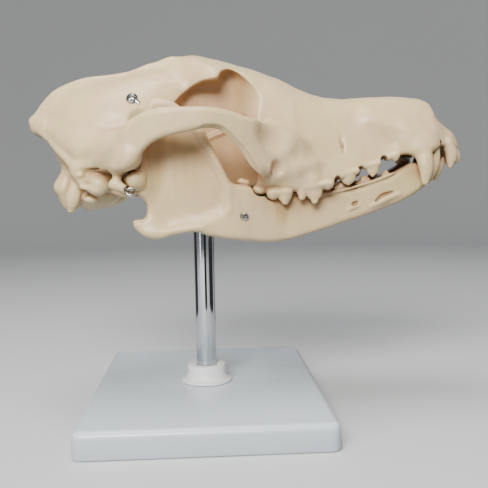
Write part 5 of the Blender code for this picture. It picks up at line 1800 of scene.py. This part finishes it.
def make_floor(studio):
    """A round paper floor that sweeps up into a low wall; the sky lights the skull in its stead."""
    flat = FLOOR_RADIUS - SWEEP_RADIUS
    profile = [(0, 0), (flat, 0)]
    for k in range(1, SWEEP_STEPS + 1):
        turn = math.pi / 2 * k / SWEEP_STEPS
        profile.append((FLOOR_RADIUS - SWEEP_RADIUS * (1 - math.sin(turn)),
                        SWEEP_RADIUS * (1 - math.cos(turn))))
    profile.append((FLOOR_RADIUS, WALL_HEIGHT))
    made, nodes = new_material("floor_paper")
    grain = nodes.noise(600.0, 2.0, 0.6)
    tone = nodes.mix(nodes.noise(3.0, 2.0, 0.5), colour(studio.floor),
                     colour([c * 0.97 for c in studio.floor]))
    nodes.surface({"Base Color": tone, "Roughness": 0.6, "Normal": nodes.bump(grain, 0.00006, 0.3)})
    floor = put("floor", finished_mesh(spun(profile, FLOOR_SIDES), "floor"), made)
    floor.visible_diffuse = False


def make_flags():
    """Dark cards that only the metal and the gloss mirror."""
    made, nodes = new_material("black_card")
    nodes.surface({"Base Color": (0.05, 0.05, 0.055, 1.0), "Roughness": 0.9})
    for name, azimuth, distance, width, bottom, top in FLAGS:
        turn = math.radians(azimuth)
        out = Vector((math.sin(turn), -math.cos(turn), 0))
        across = Vector((math.cos(turn), math.sin(turn), 0))
        bm = bmesh.new()
        corners = [out * distance + across * side * width / 2 + Vector((0, 0, z))
                   for side, z in ((-1, bottom), (1, bottom), (1, top), (-1, top))]
        bm.faces.new([bm.verts.new(c) for c in corners])
        card = put(name, finished_mesh(bm, name), made)
        card.visible_camera = False
        card.visible_diffuse = False
        card.visible_shadow = False


# Operators: one for each piece or group of like pieces, and one for the stage

class SKULL_OT_cast_bones(bpy.types.Operator):
    """Model the cranium and the lower jaw with their teeth"""

    bl_idname = "skull.cast_bones"
    bl_label = "Cast the bones"

    def execute(self, context):
        cast, fittings = context.scene.skull_cast, context.scene.skull_fittings
        cranium, mandible = build_clays(cast, fittings)
        sky = sky_block([cranium, mandible])
        finish = ivory_plastic("ivory_plastic", cast)
        upper = bone("skull_cranium", cranium, finish, cast.cranium_faces, sky)
        lower = bone("skull_mandible", mandible, finish, cast.mandible_faces, sky)
        hand_over(upper, "ivory_plastic", "cranium")
        hand_over(lower, "ivory_plastic", "mandible")
        return {"FINISHED"}


class SKULL_OT_set_screws(bpy.types.Operator):
    """Set the four pan head screws in the temples and the jaw"""

    bl_idname = "skull.set_screws"
    bl_label = "Set the screws"

    def execute(self, context):
        sizes = context.scene.skull_fittings
        finish = plated_steel("nickel_steel", sizes.nickel, 0.2, (700.0, 700.0, 700.0))
        for fitting, radius, stub in ((FITTINGS[0], sizes.temple_head, sizes.wire_end),
                                      (FITTINGS[1], sizes.jaw_head, HIDDEN_STUB)):
            made = grow(fitting.node + "s", [fitting], screw_tree(), {
                "Head Radius": radius, "Head Height": sizes.head_height,
                "Thread Pitch": sizes.thread_pitch, "Stub Length": stub}, finish)
            hand_over(made, "nickel_steel", *(fitting.node + "_" + word for word, side in SIDES))
        return {"FINISHED"}


class SKULL_OT_set_eyelets(bpy.types.Operator):
    """Set the two screw eyes under the jaw joints"""

    bl_idname = "skull.set_eyelets"
    bl_label = "Set the screw eyes"

    def execute(self, context):
        sizes = context.scene.skull_fittings
        finish = plated_steel("nickel_wire", sizes.nickel, 0.2, (700.0, 700.0, 700.0))
        made = grow("joint_eyelets", [FITTINGS[2]], eyelet_tree(), {
            "Ring Radius": sizes.ring_radius, "Wire Radius": sizes.ring_wire,
            "Thread Pitch": sizes.thread_pitch}, finish)
        hand_over(made, "nickel_steel", "joint_eyelet_left", "joint_eyelet_right")
        return {"FINISHED"}


class SKULL_OT_make_stand(bpy.types.Operator):
    """Make the base, the collar and the rod"""

    bl_idname = "skull.make_stand"
    bl_label = "Make the stand"

    def execute(self, context):
        sizes = context.scene.skull_stand
        low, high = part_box("stand_base")
        block = rounded_box(low, high, sizes.corner, sizes.rim_rounding, sizes.foot_rounding)
        base = put("base", finished_mesh(block, "base", 50),
                   moulded_plastic("white_plastic", sizes.white, 0.22))
        hand_over(base, "white_plastic", "stand_base")
        collar = put("collar", finished_mesh(turned(collar_profile(), 96), "collar"),
                     moulded_plastic("milk_plastic", sizes.milk, 0.38))
        hand_over(collar, "white_plastic", "stand_collar")
        rod = put("rod", finished_mesh(turned(rod_profile(), 96), "rod"),
                  plated_steel("chromed_steel", sizes.chrome, 0.07, (2500.0, 2500.0, 6.0)))
        hand_over(rod, "chromed_steel", "stand_rod")
        return {"FINISHED"}


class SKULL_OT_set_studio(bpy.types.Operator):
    """Lay the floor and set the light and the camera"""

    bl_idname = "skull.set_studio"
    bl_label = "Set the studio"

    def execute(self, context):
        studio = context.scene.skull_studio
        make_world(studio)
        make_floor(studio)
        make_flags()
        for name, place, size, power, tint in LIGHTS:
            add_light(name, place, size, getattr(studio, power), tint)
        lens = bpy.data.cameras.new("camera")
        lens.sensor_width = SENSOR
        lens.lens = studio.lens
        lens.clip_start = CLIP_START
        camera = bpy.data.objects.new("camera", lens)
        context.scene.collection.objects.link(camera)
        camera.matrix_world = camera_matrix()
        context.scene.camera = camera
        return {"FINISHED"}


class SKULL_PT_build(bpy.types.Panel):
    """The steps that make the skull, in order"""

    bl_idname = "SKULL_PT_build"
    bl_label = "Dog skull cast"
    bl_space_type = "VIEW_3D"
    bl_region_type = "UI"
    bl_category = "Skull"

    def draw(self, context):
        for made in OPERATORS:
            self.layout.operator(made.bl_idname)


OPERATORS = (
    SKULL_OT_set_studio,
    SKULL_OT_cast_bones,
    SKULL_OT_set_screws,
    SKULL_OT_set_eyelets,
    SKULL_OT_make_stand,
)
SETTINGS = {
    "skull_cast": CastSettings,
    "skull_fittings": FittingSettings,
    "skull_stand": StandSettings,
    "skull_studio": StudioSettings,
}
CLASSES = (*SETTINGS.values(), *OPERATORS, SKULL_PT_build)


def register():
    for made in CLASSES:
        bpy.utils.register_class(made)
    for name, group in SETTINGS.items():
        setattr(bpy.types.Scene, name, bpy.props.PointerProperty(type=group))


def unregister():
    for name in SETTINGS:
        delattr(bpy.types.Scene, name)
    for made in reversed(CLASSES):
        bpy.utils.unregister_class(made)


def main():
    register()
    bpy.ops.skull.set_studio()
    bpy.ops.skull.cast_bones()
    bpy.ops.skull.set_screws()
    bpy.ops.skull.set_eyelets()
    bpy.ops.skull.make_stand()


if __name__ == "__main__":
    main()
